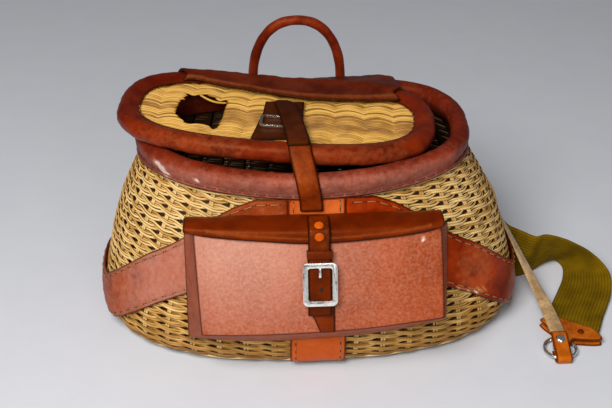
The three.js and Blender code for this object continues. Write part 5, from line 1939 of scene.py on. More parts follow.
@dataclass
class Handle:
    """The rolled leather handle and the two tabs that hold its feet."""

    span: float = 87
    height: float = 66
    shift: float = -7
    roll: float = 4.8
    foot: float = 36
    squareness: float = 0.88
    tab_width: float = 34
    tab_height: float = 30

    def back_y(self, wall: WovenWall) -> float:
        """How far back the loop stands."""
        return wall.back_depth * 0.957 + SEAT + BINDING_THICKNESS + BAND_THICKNESS + 5 * GAP + self.roll + 2

    def foot_height(self, wall: WovenWall) -> float:
        """Height of the loop's ends."""
        return wall.height - self.foot

    def foot_y(self, wall: WovenWall, x: float) -> float:
        """How far back the loop's end lies at a given x."""
        z = self.foot_height(wall)
        return float(wall.point(wall.back_turn(x, z), z, SEAT + self.roll)[1])

    def path(self, wall: WovenWall) -> np.ndarray:
        """The loop's middle line.

        Args:
            wall: The woven wall.

        Returns:
            The points.
        """
        half = self.span / 2
        y = self.back_y(wall)
        arch = []
        for a in np.radians(np.linspace(0, 180, 13)):
            c, s = math.cos(a), math.sin(a)
            arch.append((self.shift - half * math.copysign(abs(c) ** self.squareness, c), y,
                wall.height + 12 + self.height * max(s, 0) ** self.squareness))
        left, right = self.shift - half, self.shift + half
        z = self.foot_height(wall)
        points = [(left, self.foot_y(wall, left), z), (left, y, wall.height - 8), *arch,
            (right, y, wall.height - 8), (right, self.foot_y(wall, right), z)]
        return curve_through(np.array(points), 170)

    def tab(self, shop: Workshop, side: int) -> Shell:
        """A tab over a foot: flat wings on the wall with a bulge between them.

        Args:
            shop: The workshop.
            side: -1 at the left, 1 at the right.

        Returns:
            One shell.
        """
        wall = shop.wall
        x = self.shift + side * self.span / 2
        reach = self.roll + 2 * GAP
        low = self.foot_height(wall) - 8
        offsets = np.linspace(-self.tab_width / 2, self.tab_width / 2, 35)
        heights = np.linspace(low, low + self.tab_height, 26)
        flat = wall.point(wall.back_turn(x + offsets[None, :], heights[:, None]), heights[:, None], SEAT)
        share = np.clip((heights - self.foot_height(wall)) / (self.foot - 8), 0, 1)
        seat = self.foot_y(wall, x)
        loop = seat + share * (self.back_y(wall) - seat) + 1.2
        round_ = np.sqrt(np.maximum(0, reach**2 - offsets**2))
        start = np.clip((heights - low) / 5, 0, 1) ** 0.5
        bulge = np.where(np.abs(offsets)[None, :] <= reach, loop[:, None] + round_[None, :], -1e9)
        lifted = np.maximum(flat[..., 1], bulge)
        y = flat[..., 1] + (lifted - flat[..., 1]) * start[:, None]
        grid = stacked(x + offsets[None, :], y, flat[..., 2])
        return painted(plate(grid, BINDING_THICKNESS, 0.15 * ripple(grid, 9, 60 + side)), 0.1, 0.2)

    def dress(self, shop: Workshop) -> None:
        """Mounts the handle and its tabs.

        Args:
            shop: The workshop.
        """
        path = self.path(shop.wall)
        size = self.roll * (1 + 0.03 * np.sin(np.arange(len(path)) / 5.0) + 0.02
            * np.sin(np.arange(len(path)) / 1.9))
        middle = np.array([self.shift, path[:, 1].mean(), shop.wall.height + 10])
        outs = unit(path - middle)[None]
        tube = rods(path[None], outs, size, size, 24, False, np.zeros(1))
        # The seam where the leather closes round its core runs along the inside of the loop
        count = 24
        inner = np.arange(len(tube.points)) % count == count // 2
        repeated = np.repeat(path, count, axis=0)
        tube.points[inner] += (repeated[inner] - tube.points[inner]) * 0.14
        tube.paint = {"edge": np.where(inner, 0.0, 20.0)}
        z = tube.points[:, 2]
        painted(tube, 0.12 * np.clip((z - 235) / 15, 0, 1), 0.5 * np.clip((215 - z) / 40, 0, 1))
        shop.mount("handle_leather", tube, Finish.HANDLE, ["carry_handle"])
        for side, name in ((-1, "left"), (1, "right")):
            shop.mount(f"handle_tab_{name}_leather", self.tab(shop, side), Finish.HANDLE,
                [f"handle_tab_{name}"])


# Bands


@dataclass
class Harness:
    """The leather bands on the wall: one down the middle and one round each side."""

    width: float = 49
    shift: float = 1.5

    def side(self, shop: Workshop, side: int) -> np.ndarray:
        """The underside of a side band: stations round the wall by points from its lower to its upper edge.

        Args:
            shop: The workshop.
            side: -1 at the left, 1 at the right.

        Returns:
            Stations by points.
        """
        wall = shop.wall
        first, last = SIDE_BAND_ROWS[0].away, SIDE_BAND_ROWS[-1].away
        away = np.concatenate([np.linspace(first, 90, 70)[:-1], np.linspace(90, last, 50)])
        top = read_straight(SIDE_BAND_ROWS, "away", "top", away) * wall.height
        bottom = read_straight(SIDE_BAND_ROWS, "away", "bottom", away) * wall.height
        edge = self.shift + side * (self.width / 2 + 3 * GAP)
        ways = np.linspace(0, 1, 18)
        z = bottom[:, None] + ways[None, :] * (top - bottom)[:, None]
        straight = wall.front_turn(np.full_like(z, edge), z)
        # The edge beside the middle band is straight, and the rest goes round the wall in even steps
        turn = straight + (away - first)[:, None] / (last - first) * (-90 + side * last - straight[:, -1:])
        return wall.point(turn, z, SEAT)

    def centre(self, shop: Workshop) -> np.ndarray:
        """The underside of the middle band: heights by points across it.

        Args:
            shop: The workshop.

        Returns:
            Heights by points.
        """
        heights = np.linspace(0.052, 0.96, 60) * shop.wall.height
        x = self.shift + np.linspace(-0.5, 0.5, 18) * self.width
        return shop.wall.front_point(x[None, :], heights[:, None], SEAT)

    def seams(self, grid: np.ndarray, thickness: float, inset: float,
            pitch: float) -> list[tuple[Shell, Shell]]:
        """Stitches along a band's two long edges.

        Args:
            grid: The band's underside.
            thickness: Its thickness.
            inset: The seams' distance from the edge.
            pitch: Distance from hole to hole.

        Returns:
            Thread and holes of each run.
        """
        up = grid_normals(grid) * np.sign(thickness)
        runs = []
        width = np.linalg.norm(grid[:, -1] - grid[:, 0], axis=1)
        for share in (inset / width, 1 - inset / width):
            column = np.clip(share * (grid.shape[1] - 1), 0, grid.shape[1] - 1.001)
            low = column.astype(int)
            part = (column - low)[:, None]
            rows = np.arange(len(grid))
            seam = grid[rows, low] * (1 - part) + grid[rows, low + 1] * part
            out = up[rows, low]
            runs.append(stitches(seam + out * (abs(thickness) + 0.25), out, pitch, 0.8, 0.5, 0.6))
        return runs

    def dress(self, shop: Workshop) -> None:
        """Mounts the three bands and their stitches.

        Args:
            shop: The workshop.
        """
        for side, name in ((-1, "left"), (1, "right")):
            grid = self.side(shop, side)
            thickness = BAND_THICKNESS * (1 if self.faces_out(grid) else -1)
            ridges = 0.25 * ripple(grid, 20, 70 + side) + 0.18 * ripple(grid, 6, 75 + side)
            shell = plate(grid, thickness, ridges)
            p = shell.points
            front = np.clip((-p[:, 1] - 30) / 40, 0, 1)
            crease = np.clip((np.abs(p[:, 0]) - 104) / 12, 0, 1)
            if side < 0:
                finish = Finish.BAND
                wear_and_highlight = 0.3 * np.clip((p[:, 0] + 190) / 40, 0, 1) * front * crease
                painted(shell, wear_and_highlight - 0.08 * (1 - crease), 0.1 * (1 - crease))
            else:
                finish = Finish.DARK_BAND
                drops = sum(2.2 * blob(p, x, z, size, 1.6) for x, z, size in ((131, 67, 4), (137, 63, 3),
                    (144, 60, 2.5), (151, 58, 3), (158, 56, 2)))
                painted(shell, 0.25 * blob(p, 150, 78, 20, 30) + drops, 0.5 * np.clip((p[:, 0] - 165) / 25,
                    0, 1) * front)
            shop.mount(f"side_band_{name}_leather", shell, finish, [f"side_band_{name}"])
            shop.sew(f"side_band_{name}_stitches", self.seams(grid[2:], thickness, 4.6, 12), "leather")
        grid = self.centre(shop)
        thickness = BAND_THICKNESS * (1 if self.faces_out(grid) else -1)
        shell = plate(grid, thickness, 0.3 * ripple(grid, 16, 79))
        # Painted shade: the band darkens below 120 mm, fully below 70 mm, where it runs under the pocket; a
        # faint rubbed spot sits low in the middle
        painted(shell, 0.1 * blob(shell.points, 0, 20, 30, 20),
            0.55 * np.clip((120 - shell.points[:, 2]) / 50, 0, 1))
        shop.mount("centre_band_leather", shell, Finish.TOP_BAND, ["centre_band"])
        shop.sew("centre_band_stitches", self.seams(grid, thickness, 4.2, 9), "leather")

    def faces_out(self, grid: np.ndarray) -> bool:
        """Whether a grid's normals point away from the basket.

        Args:
            grid: The band's underside.

        Returns:
            True if they do.
        """
        up = grid_normals(grid)
        middle = grid[len(grid) // 2, grid.shape[1] // 2]
        way = up[len(grid) // 2, grid.shape[1] // 2]
        return float(middle[0] * way[0] + middle[1] * way[1]) > 0


# Pocket


@dataclass
class Pocket:
    """The front pocket: a stiff front panel on a gusset, a flap, and the strap that closes it."""

    depth: float = 28
    front_half: float = 107
    back_half: float = 117
    bow: float = 8
    shift: float = 2
    skew: float = 4
    mouth: float = 151.5
    back_top: float = 128
    front_foot: float = 64
    back_foot: float = 39
    tilt: float = 0.043
    leather: float = 2.5
    flap_leather: float = 2.8
    flap_half: float = 112
    flap_shift: float = -2
    flap_seat: float = 151.5
    flap_crest: float = 3
    strap_width: float = 18
    strap_end: float = 84
    buckle_top: float = 131
    buckle_height: float = 39
    hole_lift: float = 5
    hole_pitch: float = 14
    tail_width: float = 23
    tail_tip: float = 12

    @property
    def back_out(self) -> float:
        """How far the pocket's back stands off the wall."""
        return SEAT + BAND_THICKNESS + SEAT + GAP

    def front(self, wall: WovenWall, across: np.ndarray, z: np.ndarray,
            ahead: np.ndarray | float) -> np.ndarray:
        """A point of the front panel's outside.

        Args:
            wall: The woven wall behind it.
            across: Share across the panel, -1 to 1.
            z: Height.
            ahead: How far in front of it.

        Returns:
            An array of points.
        """
        across, z = np.broadcast_arrays(np.asarray(across, float), np.asarray(z, float))
        rise = (z - self.front_foot) / (self.mouth - self.front_foot)
        middle = self.shift + self.skew * (0.75 - rise)
        deep = wall.section(z)["front"] + self.back_out + self.depth - self.bow * across * across
        return stacked(middle + across * self.front_half, -deep - ahead, z)

    def share_of(self, x: float) -> float:
        """The share across the panel of a place near its middle line."""
        return (x - self.shift) / self.front_half

    def panel(self, shop: Workshop) -> np.ndarray:
        """The front panel's inner face, rows from its foot up.

        Args:
            shop: The workshop.

        Returns:
            Rows by points.
        """
        ways = np.linspace(-1, 1, 90)
        ups = np.linspace(0, 1, 44)
        foot = self.front_foot + self.tilt * ways * self.front_half
        z = foot[None, :] + ups[:, None] * (self.mouth - foot)[None, :]
        return self.front(shop.wall, ways[None, :], z, -self.leather)

    def gusset(self, shop: Workshop) -> np.ndarray:
        """The strip from the panel's left, lower and right edges back to the wall.

        Args:
            shop: The workshop.

        Returns:
            Points round the edge by points to the wall.
        """
        wall = shop.wall
        front, back = [], []
        ups = np.linspace(1, 0, 30)
        for side in (-1, 1):
            x_back = self.shift + side * self.back_half
            foot_front = self.front_foot + self.tilt * side * self.front_half
            foot_back = self.back_foot + self.tilt * x_back
            order = ups if side < 0 else ups[::-1]
            z_front = foot_front + order * (self.mouth - foot_front)
            z_back = foot_back + order * (self.back_top - foot_back)
            if side > 0:
                ways = np.linspace(-1, 1, 62)[1:-1]
                foot = self.front_foot + self.tilt * ways * self.front_half
                front.append(self.front(wall, ways, foot, -1.2))
                x = self.shift + ways * self.back_half
                back.append(wall.front_point(x, self.back_foot + self.tilt * x, self.back_out))
            front.append(self.front(wall, np.full_like(order, side), z_front, -1.2))
            back.append(wall.front_point(np.full_like(order, x_back), z_back, self.back_out))
        a, b = np.vstack(front), np.vstack(back)
        ways = np.linspace(0, 1, 9)[None, :, None]
        grid = a[:, None, :] * (1 - ways) + b[:, None, :] * ways
        inward = np.array([0.0, 0.0, 100.0]) - grid
        inward[..., 1] = 0
        sag = 1.6 * np.sin(math.pi * ways[..., 0])
        return grid + unit(inward) * sag[..., None]

    def backing(self, shop: Workshop) -> np.ndarray:
        """The pocket's back against the wall.

        Args:
            shop: The workshop.

        Returns:
            Rows by points.
        """
        x = self.shift + np.linspace(-1, 1, 40) * self.back_half * 0.985
        foot = self.back_foot + self.tilt * x + 2
        z = foot[None, :] + np.linspace(0, 1, 20)[:, None] * (self.back_top - foot)[None, :]
        return shop.wall.front_point(np.broadcast_to(x, z.shape), z, self.back_out + 0.2)

    def flap_back(self, wall: WovenWall) -> float:
        """How far forward the flap's straight back edge lies."""
        return float(wall.front_point(self.shift, self.flap_seat, self.back_out + 2 * GAP)[1])

    def flap(self, shop: Workshop) -> np.ndarray:
        """The flap's underside: stations across it by points from the wall to its lower edge.

        Args:
            shop: The workshop.

        Returns:
            Stations by points.
        """
        wall = shop.wall
        back = self.flap_back(wall)
        grid = []
        inner = np.sin(np.linspace(-math.pi / 2, math.pi / 2, 110))
        for across in inner:
            x = self.flap_shift + across * self.flap_half
            panel = (x - self.shift + self.skew / 4) / self.front_half
            corner = self.front(wall, panel, self.mouth, 3 * GAP)
            low = self.flap_seat - float(read_smooth(FLAP_EDGE, "along", "depth", across))
            top = [np.array([x, back + p.along * (corner[1] - back),
                self.flap_seat + self.flap_crest * p.depth]) for p in FLAP_TOP]
            bend = top[-1][2]
            lower = []
            for share in (0.5, 1):
                z = bend + share * (low - bend)
                lower.append(np.array([x, self.front(wall, panel, min(z, self.mouth), 3 * GAP)[1], z]))
            grid.append(top + lower)
        return resample(np.array(grid), 26)

    def strap_path(self, wall: WovenWall) -> np.ndarray:
        """The closing strap's underside from the flap's crest to its end.

        Args:
            wall: The woven wall.

        Returns:
            The points.
        """
        x = Harness().shift
        share = self.share_of(x)
        back = self.flap_back(wall)
        corner = self.front(wall, share, self.mouth, 3 * GAP)
        lift = self.flap_leather + 2 * GAP
        points = []
        for way, up, lean in ((0.42, 1, 0), (0.62, 1, 0.1), (0.86, 0.9, 0.26), (1.02, 0.55, 0.74)):
            points.append((x, back + way * (corner[1] - back) - lift * lean,
                self.flap_seat + self.flap_crest * up + lift * (1 - lean * lean * 0.25)))
        for z in np.linspace(self.flap_seat - 2, self.strap_end, 8):
            points.append((x, self.front(wall, share, z, self.flap_leather + 5 * GAP)[1], z))
        return np.array(points)

    def strap(self, shop: Workshop) -> Shell:
        """The strap through the buckle.

        Args:
            shop: The workshop.

        Returns:
            One shell.
        """
        path = resample(self.strap_path(shop.wall)[None], 90)[0]
        width = np.where(path[:, 2] > self.buckle_top + 3, self.strap_width, self.strap_width + 1.5) / 2
        ways = np.linspace(-1, 1, 11)
        grid = path[:, None, :] + stacked(ways[None, :] * width[:, None], 0, 0)
        shell = plate(grid, STRAP_THICKNESS, 0.12 * ripple(grid, 10, 81))
        z = shell.points[:, 2]
        return painted(shell, 0.1 * np.clip((z - 125) / 30, 0, 1), 0.55 * np.clip((121 - z) / 25, 0, 1))

    def tail(self, shop: Workshop) -> Shell:
        """The strap's lower end, sewn to the panel under the buckle.

        Args:
            shop: The workshop.

        Returns:
            One shell.
        """
        wall = shop.wall
        x = Harness().shift
        foot = self.front_foot + 1.5
        right = x + self.tail_width / 2 + 1
        start = self.buckle_top - self.buckle_height
        rows = []
        for z in np.linspace(self.buckle_top - 6, foot, 40):
            share = min(1, max(0, (start - z) / (start - foot)))
            width = self.strap_width if z > start else self.tail_width + share * (self.tail_tip
                - self.tail_width)
            middle = x if z > start else right - width / 2
            xs = middle + np.linspace(-0.5, 0.5, 9) * width
            points = self.front(wall, (xs - self.shift) / self.front_half, z, GAP)
            points[:, 0] = xs
            rows.append(points)
        grid = np.array(rows)
        shell = plate(grid, 2.0, 0.1 * ripple(grid, 9, 82))
        return painted(shell, 0.05, 0.3)

    def dress(self, shop: Workshop) -> None:
        """Mounts the pocket's pieces.

        Args:
            shop: The workshop.
        """
        wall = shop.wall
        grid = self.panel(shop)
        puff = 0.35 * ripple(grid, 60, 91) + 0.12 * ripple(grid, 11, 92)
        shell = plate(grid, self.leather, puff)
        if shell.points[len(grid.reshape(-1, 3)) + 50, 1] > grid.reshape(-1, 3)[50, 1]:
            shell = plate(grid, -self.leather, puff)
        p = shell.points
        pale = 0.3 * np.clip((p[:, 2] - 70) / 60, -0.1, 1) * np.clip((70 - p[:, 0]) / 110, 0.1, 1)
        left = 0.1 * np.clip((20 - p[:, 0]) / 100, -1, 1)
        spot = 2.4 * blob(p, 92, 141, 1.7, 1.7)
        painted(shell, pale + left + spot, 0.12 * np.clip((-88 - p[:, 0]) / 12, 0, 1))
        shop.mount("pocket_front_panel", shell, Finish.POCKET, ["pocket_body"])
        gusset = self.gusset(shop)
        strip = painted(plate(gusset, 1.8, 0.35 * ripple(gusset, 6, 93)), 0.12, 0.3)
        shop.mount("pocket_gusset", strip, Finish.BAND)
        back = self.backing(shop)
        shop.mount("pocket_backing", painted(plate(back, -1.8), 0.1, 0.2), Finish.POCKET)
        flap = self.flap(shop)
        puff = 0.3 * ripple(flap, 45, 94) + 0.1 * ripple(flap, 9, 95)
        shell = plate(flap, -self.flap_leather, puff)
        across = np.abs((shell.points[:, 0] - self.flap_shift) / self.flap_half)
        # Painted highlight: a pale line about 4.6 mm in from the flap's edge, below 155 mm, laid in as rubbed
        # colour
        bead_highlight = 0.6 * np.exp(-(((shell.paint["edge"] - 4.6) / 1.3) ** 2)) * (shell.points[:, 2] < 155)
        painted(shell, bead_highlight, 0.2 * (1 - across))
        shop.mount("pocket_flap_leather", shell, Finish.FLAP, ["pocket_flap"])
        shop.mount("pocket_strap_leather", self.strap(shop), Finish.DARK_STRAP,
            ["pocket_strap"])
        shop.mount("pocket_tail_leather", self.tail(shop), Finish.STRAP, ["pocket_tail"])
        # Painted shade: the strap's three holes are flat near-black patches, for the shade inside them
        holes = []
        for i in range(3):
            z = self.buckle_top + self.hole_lift - i * self.hole_pitch
            middle = self.front(wall, self.share_of(1.5), z,
                self.flap_leather + 5 * GAP + STRAP_THICKNESS + 0.15)
            run = middle + np.array([-1, -0.95, 0, 0.95, 1])[:, None] * np.array([1.6, 0, 0])
            way = np.broadcast_to(np.array([0, -1.0, 0.3]), (1, 5, 3))
            holes.append(rods(run[None], way, 0.2, 1.6, 10, False, np.zeros(1)))
        shop.mount("pocket_strap_holes", together(holes), Finish.HOLE_SHADE)


# Shoulder strap


@dataclass
class Carrier:
    """The shoulder strap and the webbing that lie beyond the basket's right side, joined by a ring."""

    reach: float = 100
    shoulder_width: float = 12.5
    webbing_width: float = 51
    webbing_thickness: float = 2.2
    ring_radius: float = 15
    ring_wire: float = 1.6
    start_turn: float = 104
    leave_turn: float = 18
    tab_reach: float = 24
    tab_span: float = 60
    loop_reach: float = 27
    loop_rise: float = 8.8
    webbing_steps: int = 150
    webbing_cols: int = 15
    shoulder_steps: int = 140
    shoulder_cols: int = 7

    @property
    def ring_height(self) -> float:
        """Height of the ring's wire."""
        return self.ring_wire + STRAP_THICKNESS + 2 * GAP

    def webbing(self, shop: Workshop) -> Shell:
        """The webbing from behind the basket round to its tab.

        Args:
            shop: The workshop.

        Returns:
            One shell.
        """
        wall = shop.wall
        side = wall.width / 2
        out = SEAT + BAND_THICKNESS + 4 * GAP + self.webbing_thickness
        turns = np.linspace(self.start_turn, self.leave_turn, 8)
        hidden = wall.point(turns, np.full(8, WALL_ROWS[2].height * wall.height), out)
        hidden[:, 2] = self.webbing_thickness / 2
        open_ = np.array([(side + r.out * self.reach, -r.forward * self.reach, r.height)
            for r in WEBBING_ROUTE])
        widths = [(0, 0, 1)] * 8
        for r in WEBBING_ROUTE:
            a, b = math.radians(r.rise), math.radians(r.heading)
            widths.append((math.cos(a) * math.cos(b), math.cos(a) * math.sin(b), math.sin(a)))
        edge = curve_through(np.vstack([hidden, open_]), self.webbing_steps)
        across = unit(curve_through(np.array(widths, float), self.webbing_steps)) * self.webbing_width
        ways = np.linspace(0, 1, self.webbing_cols)
        grid = edge[:, None, :] + across[:, None, :] * ways[None, :, None]
        up = grid_normals(grid)
        grid = grid - up * self.webbing_thickness / 2
        shell = plate(grid, self.webbing_thickness)
        shell.paint = {}
        return shell

    def shoulder(self, shop: Workshop) -> Shell:
        """The thin strap down from the basket's back to the ring.

        Args:
            shop: The workshop.

        Returns:
            One shell.
        """
        wall = shop.wall
        side = wall.width / 2
        back = ((62, 0.814), (54, 0.779), (46, 0.721), (36, 0.628), (27, 0.523))
        out = SEAT + BAND_THICKNESS + 4 * GAP
        behind = np.array([wall.point(t, h * wall.height, out) for t, h in back])
        open_ = np.array([(side + r.out * self.reach, -r.forward * self.reach, r.height)
            for r in SHOULDER_ROUTE])
        middle = curve_through(np.vstack([behind, open_]), self.shoulder_steps)
        tilts = np.array([(78.0, 0, 0)] * 5 + [(r.rise, 0, 0) for r in SHOULDER_ROUTE])
        tilt = np.radians(curve_through(tilts, self.shoulder_steps)[:, 0])
        ahead = np.gradient(middle, axis=0)
        flat = unit(ahead * np.array([1, 1, 0]))
        width = stacked(-flat[:, 1] * np.cos(tilt), flat[:, 0] * np.cos(tilt), -np.sin(tilt))
        along = unit(ahead)
        width = unit(width - along * np.sum(width * along, axis=1, keepdims=True))
        ways = np.linspace(-0.5, 0.5, self.shoulder_cols) * self.shoulder_width
        grid = middle[:, None, :] + width[:, None, :] * ways[None, :, None]
        grid = grid - grid_normals(grid) * STRAP_THICKNESS / 2
        shell = plate(grid, STRAP_THICKNESS, 0.12 * ripple(grid, 8, 101))
        shell.paint = {}
        return shell

    def fold(self, layers: np.ndarray, half_width: Callable[[float], float], bent: bool) -> np.ndarray:
        """A fold of leather round the ring's wire, in its own frame.

        Args:
            layers: Path of the fold: distance behind the wire and height.
            half_width: Half the width at a distance behind the wire.
            bent: Whether the fold follows the ring's curve.

        Returns:
            The grid of its inner face.
        """
        path = curve_through(np.array([(0, y, z) for y, z in layers], float), 60)
        rows = []
        for p in path:
            x = np.linspace(-1, 1, 15) * half_width(p[1])
            inside = bent and p[1] <= 0
            sag = self.ring_radius - np.sqrt(np.maximum(self.ring_radius**2 - x * x, 1)) if inside else 0 * x
            rows.append(stacked(x, p[1] - sag, np.full_like(x, p[2])))
        return np.array(rows)

    def fold_path(self, low: list, high: list) -> np.ndarray:
        """A fold's path: its lower layer, round the wire, and its upper layer.

        Args:
            low: Heights of the lower layer.
            high: Heights of the upper layer.

        Returns:
            The points.
        """
        turn = [((self.ring_wire + 2 * GAP) * math.cos(a),
            self.ring_height + (self.ring_wire + GAP) * math.sin(a))
            for a in np.radians(np.linspace(-90, -270, 7))]
        return np.array([*low, *turn, *high])

    def loop(self, centre: np.ndarray) -> Shell:
        """The orange loop at the strap's end.

        Args:
            centre: The ring's middle.

        Returns:
            One shell.
        """
        rows = ((0.185, 0.31), (0.52, 0.6), (0.74, 0.82), (1, 1))
        high = [(b * self.loop_reach, self.ring_height + r * self.loop_rise) for b, r in rows]
        flat = self.ring_height - self.ring_wire - GAP
        low = [(rows[1][0] * self.loop_reach, flat), (rows[0][0] * self.loop_reach, flat)]
        grid = self.fold(self.fold_path(low, high), lambda y: (self.shoulder_width + 1.5) / 2, False)
        grid = grid + centre - np.array([0, self.ring_radius, 0])
        return painted(plate(grid, -STRAP_THICKNESS), 0.05, 0.1)

    def tab(self, centre: np.ndarray) -> Shell:
        """The leather tab that holds the webbing's end.

        Args:
            centre: The ring's middle.

        Returns:
            One shell.
        """
        rows = ((0, 0.21), (0.1, 0.4), (0.21, 0.6), (0.35, 0.84), (0.5, 1), (0.62, 1), (0.75, 0.93),
            (0.9, 0.76), (1, 0.58))
        flat = self.ring_height - self.ring_wire - GAP
        top = self.ring_height + self.ring_wire + GAP
        low = [(b * self.tab_reach, flat) for b, _ in reversed(rows[1:])]
        high = [(b * self.tab_reach, top) for b, _ in rows[1:]]
        backs = [b for b, _ in rows]
        spans = [w for _, w in rows]

        def half(y: float) -> float:
            """Half the tab's width."""
            return float(np.interp(y / self.tab_reach, backs, spans)) * self.tab_span / 2

        grid = self.fold(self.fold_path(low, high), half, True)
        a = math.radians(-33)
        turn = np.array([[math.cos(a), math.sin(a), 0], [-math.sin(a), math.cos(a), 0], [0, 0, 1]])
        out = np.array([-math.sin(a), math.cos(a), 0])
        grid = grid @ turn + centre + out * self.ring_radius
        return painted(plate(grid, -STRAP_THICKNESS), 0.1, 0.1)

    def run(self, shell: Shell, rows: int, cols: int) -> float:
        """The length of a strap's middle line, from the shell that plate made of its rows.

        Args:
            shell: The strap.
            rows: How many of its rows of points are measured.
            cols: How many points a row has.

        Returns:
            The length.
        """
        middle = shell.points[:rows * cols].reshape(rows, cols, 3)[:, cols // 2]
        return float(np.linalg.norm(np.diff(middle, axis=0), axis=1).sum())

    def dress(self, shop: Workshop) -> None:
        """Mounts the straps, the loop and the tab.

        Args:
            shop: The workshop.
        """
        side = shop.wall.width / 2
        centre = np.array([side + 0.3 * self.reach, -1.1 * self.reach, 0])
        webbing = self.webbing(shop)
        wide = shop.mount("webbing_strap", webbing, Finish.WEBBING, ["webbing"])
        shoulder = self.shoulder(shop)
        thin = shop.mount("shoulder_strap_leather", shoulder, Finish.SUEDE, ["shoulder_strap"])
        shop.mount("strap_loop_leather", self.loop(centre), Finish.TAB, ["strap_loop"])
        tab = shop.mount("webbing_tab_leather", self.tab(centre), Finish.TAB,
            ["webbing_tab"])


# Hardware


@dataclass
class Hardware:
    """Buckles, tongue, ring, keeper and rivets: the CAD shapes with softened edges."""

    corner: float = 35
    segments: int = 3

    def softened(self, shop: Workshop, node: str, finish: Finish, width: float) -> None:
        """Mounts a copy of a CAD node with rounded edges.

        Args:
            shop: The workshop.
            node: The CAD node.
            finish: Its finish.
            width: Width of the rounding in millimetres.
        """
        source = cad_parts[node]
        obj = bpy.data.objects.new(f"{node}_finished", source.data.copy())
        bpy.context.scene.collection.objects.link(obj)
        obj.data.materials.clear()
        obj.data.materials.append(shop.rack.get(finish))
        weld = obj.modifiers.new("weld", "WELD")
        weld.merge_threshold = 0.02 * MM
        round_ = obj.modifiers.new("round", "BEVEL")
        round_.width = width * MM
        round_.segments = self.segments
        round_.limit_method = "ANGLE"
        round_.angle_limit = math.radians(self.corner)
        bpy.context.view_layer.update()
        shaped = bpy.data.meshes.new_from_object(obj.evaluated_get(bpy.context.evaluated_depsgraph_get()))
        obj.modifiers.clear()
        obj.data = shaped
        for polygon in shaped.polygons:
            polygon.use_smooth = True
        for name in ("wear_and_highlight", "dirt_and_shade"):
            shaped.attributes.new(name, "FLOAT", "POINT")
        edge = shaped.attributes.new("edge", "FLOAT", "POINT")
        edge.data.foreach_set("value", np.full(len(shaped.vertices), 20.0, np.float32))
        shop.enlist(obj, [node])

    def dress(self, shop: Workshop) -> None:
        """Mounts every metal piece and the keeper.

        Args:
            shop: The workshop.
        """
        for node, finish, slot, width in (
            ("pocket_buckle", Finish.NICKEL, "nickel", 1.35),
            ("buckle_tongue", Finish.NICKEL, "nickel", 0.5),
            ("lid_buckle", Finish.DARK_WIRE, "nickel", 0.8),
            ("link_ring", Finish.NICKEL, "nickel", 0.2),
            ("loop_rivet", Finish.NICKEL, "nickel", 0.2),
            ("tab_rivet", Finish.HINGE, "leather", 0.2),
            ("strap_rivet_upper", Finish.COPPER, "orange_leather", 0.2),
            ("strap_rivet_lower", Finish.COPPER, "orange_leather", 0.2),
            ("strap_keeper", Finish.DARK_STRAP, "orange_leather", 0.6),
        ):
            self.softened(shop, node, finish, width)


# Studio


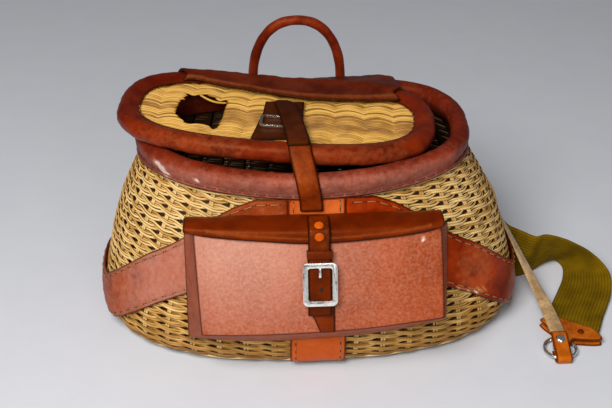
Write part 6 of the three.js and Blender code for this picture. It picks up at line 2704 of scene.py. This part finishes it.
@dataclass
class Studio:
    """The pale floor, the soft lights and the camera at the photograph's viewing angle."""

    azimuth: float = -3
    elevation: float = 32
    distance: float = 1180
    target: tuple[float, float, float] = (-3, 0, 103)
    lens: float = 72.06
    floor_half: float = 6.0
    fill: float = 0.22

    def camera(self) -> None:
        """Creates the camera."""
        a, e = math.radians(self.azimuth), math.radians(self.elevation)
        way = Vector((math.sin(a) * math.cos(e), -math.cos(a) * math.cos(e), math.sin(e)))
        data = bpy.data.cameras.new("camera")
        data.lens = self.lens
        data.sensor_width = 36
        data.clip_start = 0.05
        data.clip_end = 20
        obj = bpy.data.objects.new("camera", data)
        obj.location = (Vector(self.target) + way * self.distance) * MM
        obj.rotation_euler = way.to_track_quat("Z", "Y").to_euler()
        bpy.context.scene.collection.objects.link(obj)
        bpy.context.scene.camera = obj

    def light(self, name: str, place: tuple[float, float, float], size: float, power: float,
            colour: str) -> None:
        """Adds a soft box that faces the creel.

        Args:
            name: Its name.
            place: Where it hangs, in metres.
            size: Its side in metres.
            power: Its power in watts.
            colour: Its colour.
        """
        data = bpy.data.lights.new(name, "AREA")
        data.size = size
        data.energy = power
        data.color = linear(colour)[:3]
        obj = bpy.data.objects.new(name, data)
        obj.location = place
        obj.rotation_euler = (Vector(place) - Vector((0, 0, 0.1))).to_track_quat("Z", "Y").to_euler()
        bpy.context.scene.collection.objects.link(obj)

    def dress(self, rack: FinishRack) -> None:
        """Builds the floor, lights and camera.

        Args:
            rack: The finishes.
        """
        self.camera()
        size = self.floor_half
        mesh = bpy.data.meshes.new("floor")
        mesh.from_pydata([(-size, -size, 0), (size, -size, 0), (size, size, 0), (-size, size, 0)], [],
            [(0, 1, 2, 3)])
        floor = bpy.data.objects.new("floor", mesh)
        floor.location.z = -0.0002
        bpy.context.scene.collection.objects.link(floor)
        mesh.materials.append(rack.get(Finish.PAPER))
        world = bpy.data.worlds.new("studio")
        bpy.context.scene.world = world
        world.use_nodes = True
        background = world.node_tree.nodes["Background"]
        background.inputs[0].default_value = linear("bcbcc2")
        background.inputs[1].default_value = self.fill
        self.light("front_box", (-0.5, -1.15, 1.42), 0.85, 34, "fdfbf8")
        self.light("low_box", (0.3, -1.6, 0.8), 0.8, 4, "ffffff")
        bpy.context.scene.view_settings.view_transform = "Standard"


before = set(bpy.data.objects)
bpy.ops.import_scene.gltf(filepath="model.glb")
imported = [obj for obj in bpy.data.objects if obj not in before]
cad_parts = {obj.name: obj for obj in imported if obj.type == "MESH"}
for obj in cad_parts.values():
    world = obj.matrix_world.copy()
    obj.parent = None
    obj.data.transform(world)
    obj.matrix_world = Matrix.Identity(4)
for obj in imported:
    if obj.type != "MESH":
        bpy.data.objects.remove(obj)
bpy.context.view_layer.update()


def main() -> None:
    """Builds and dresses the creel, piece by piece."""
    logging.basicConfig(level=logging.INFO, format="%(message)s")
    shop = Workshop()
    studio = Studio()
    studio.dress(shop.rack)
    for part in (Carrier(), Basket(), RimBinding(), Lid(), HingeBand(), Handle(), Harness(),
            Pocket(), Hardware()):
        part.dress(shop)


if __name__ == "__main__":
    main()
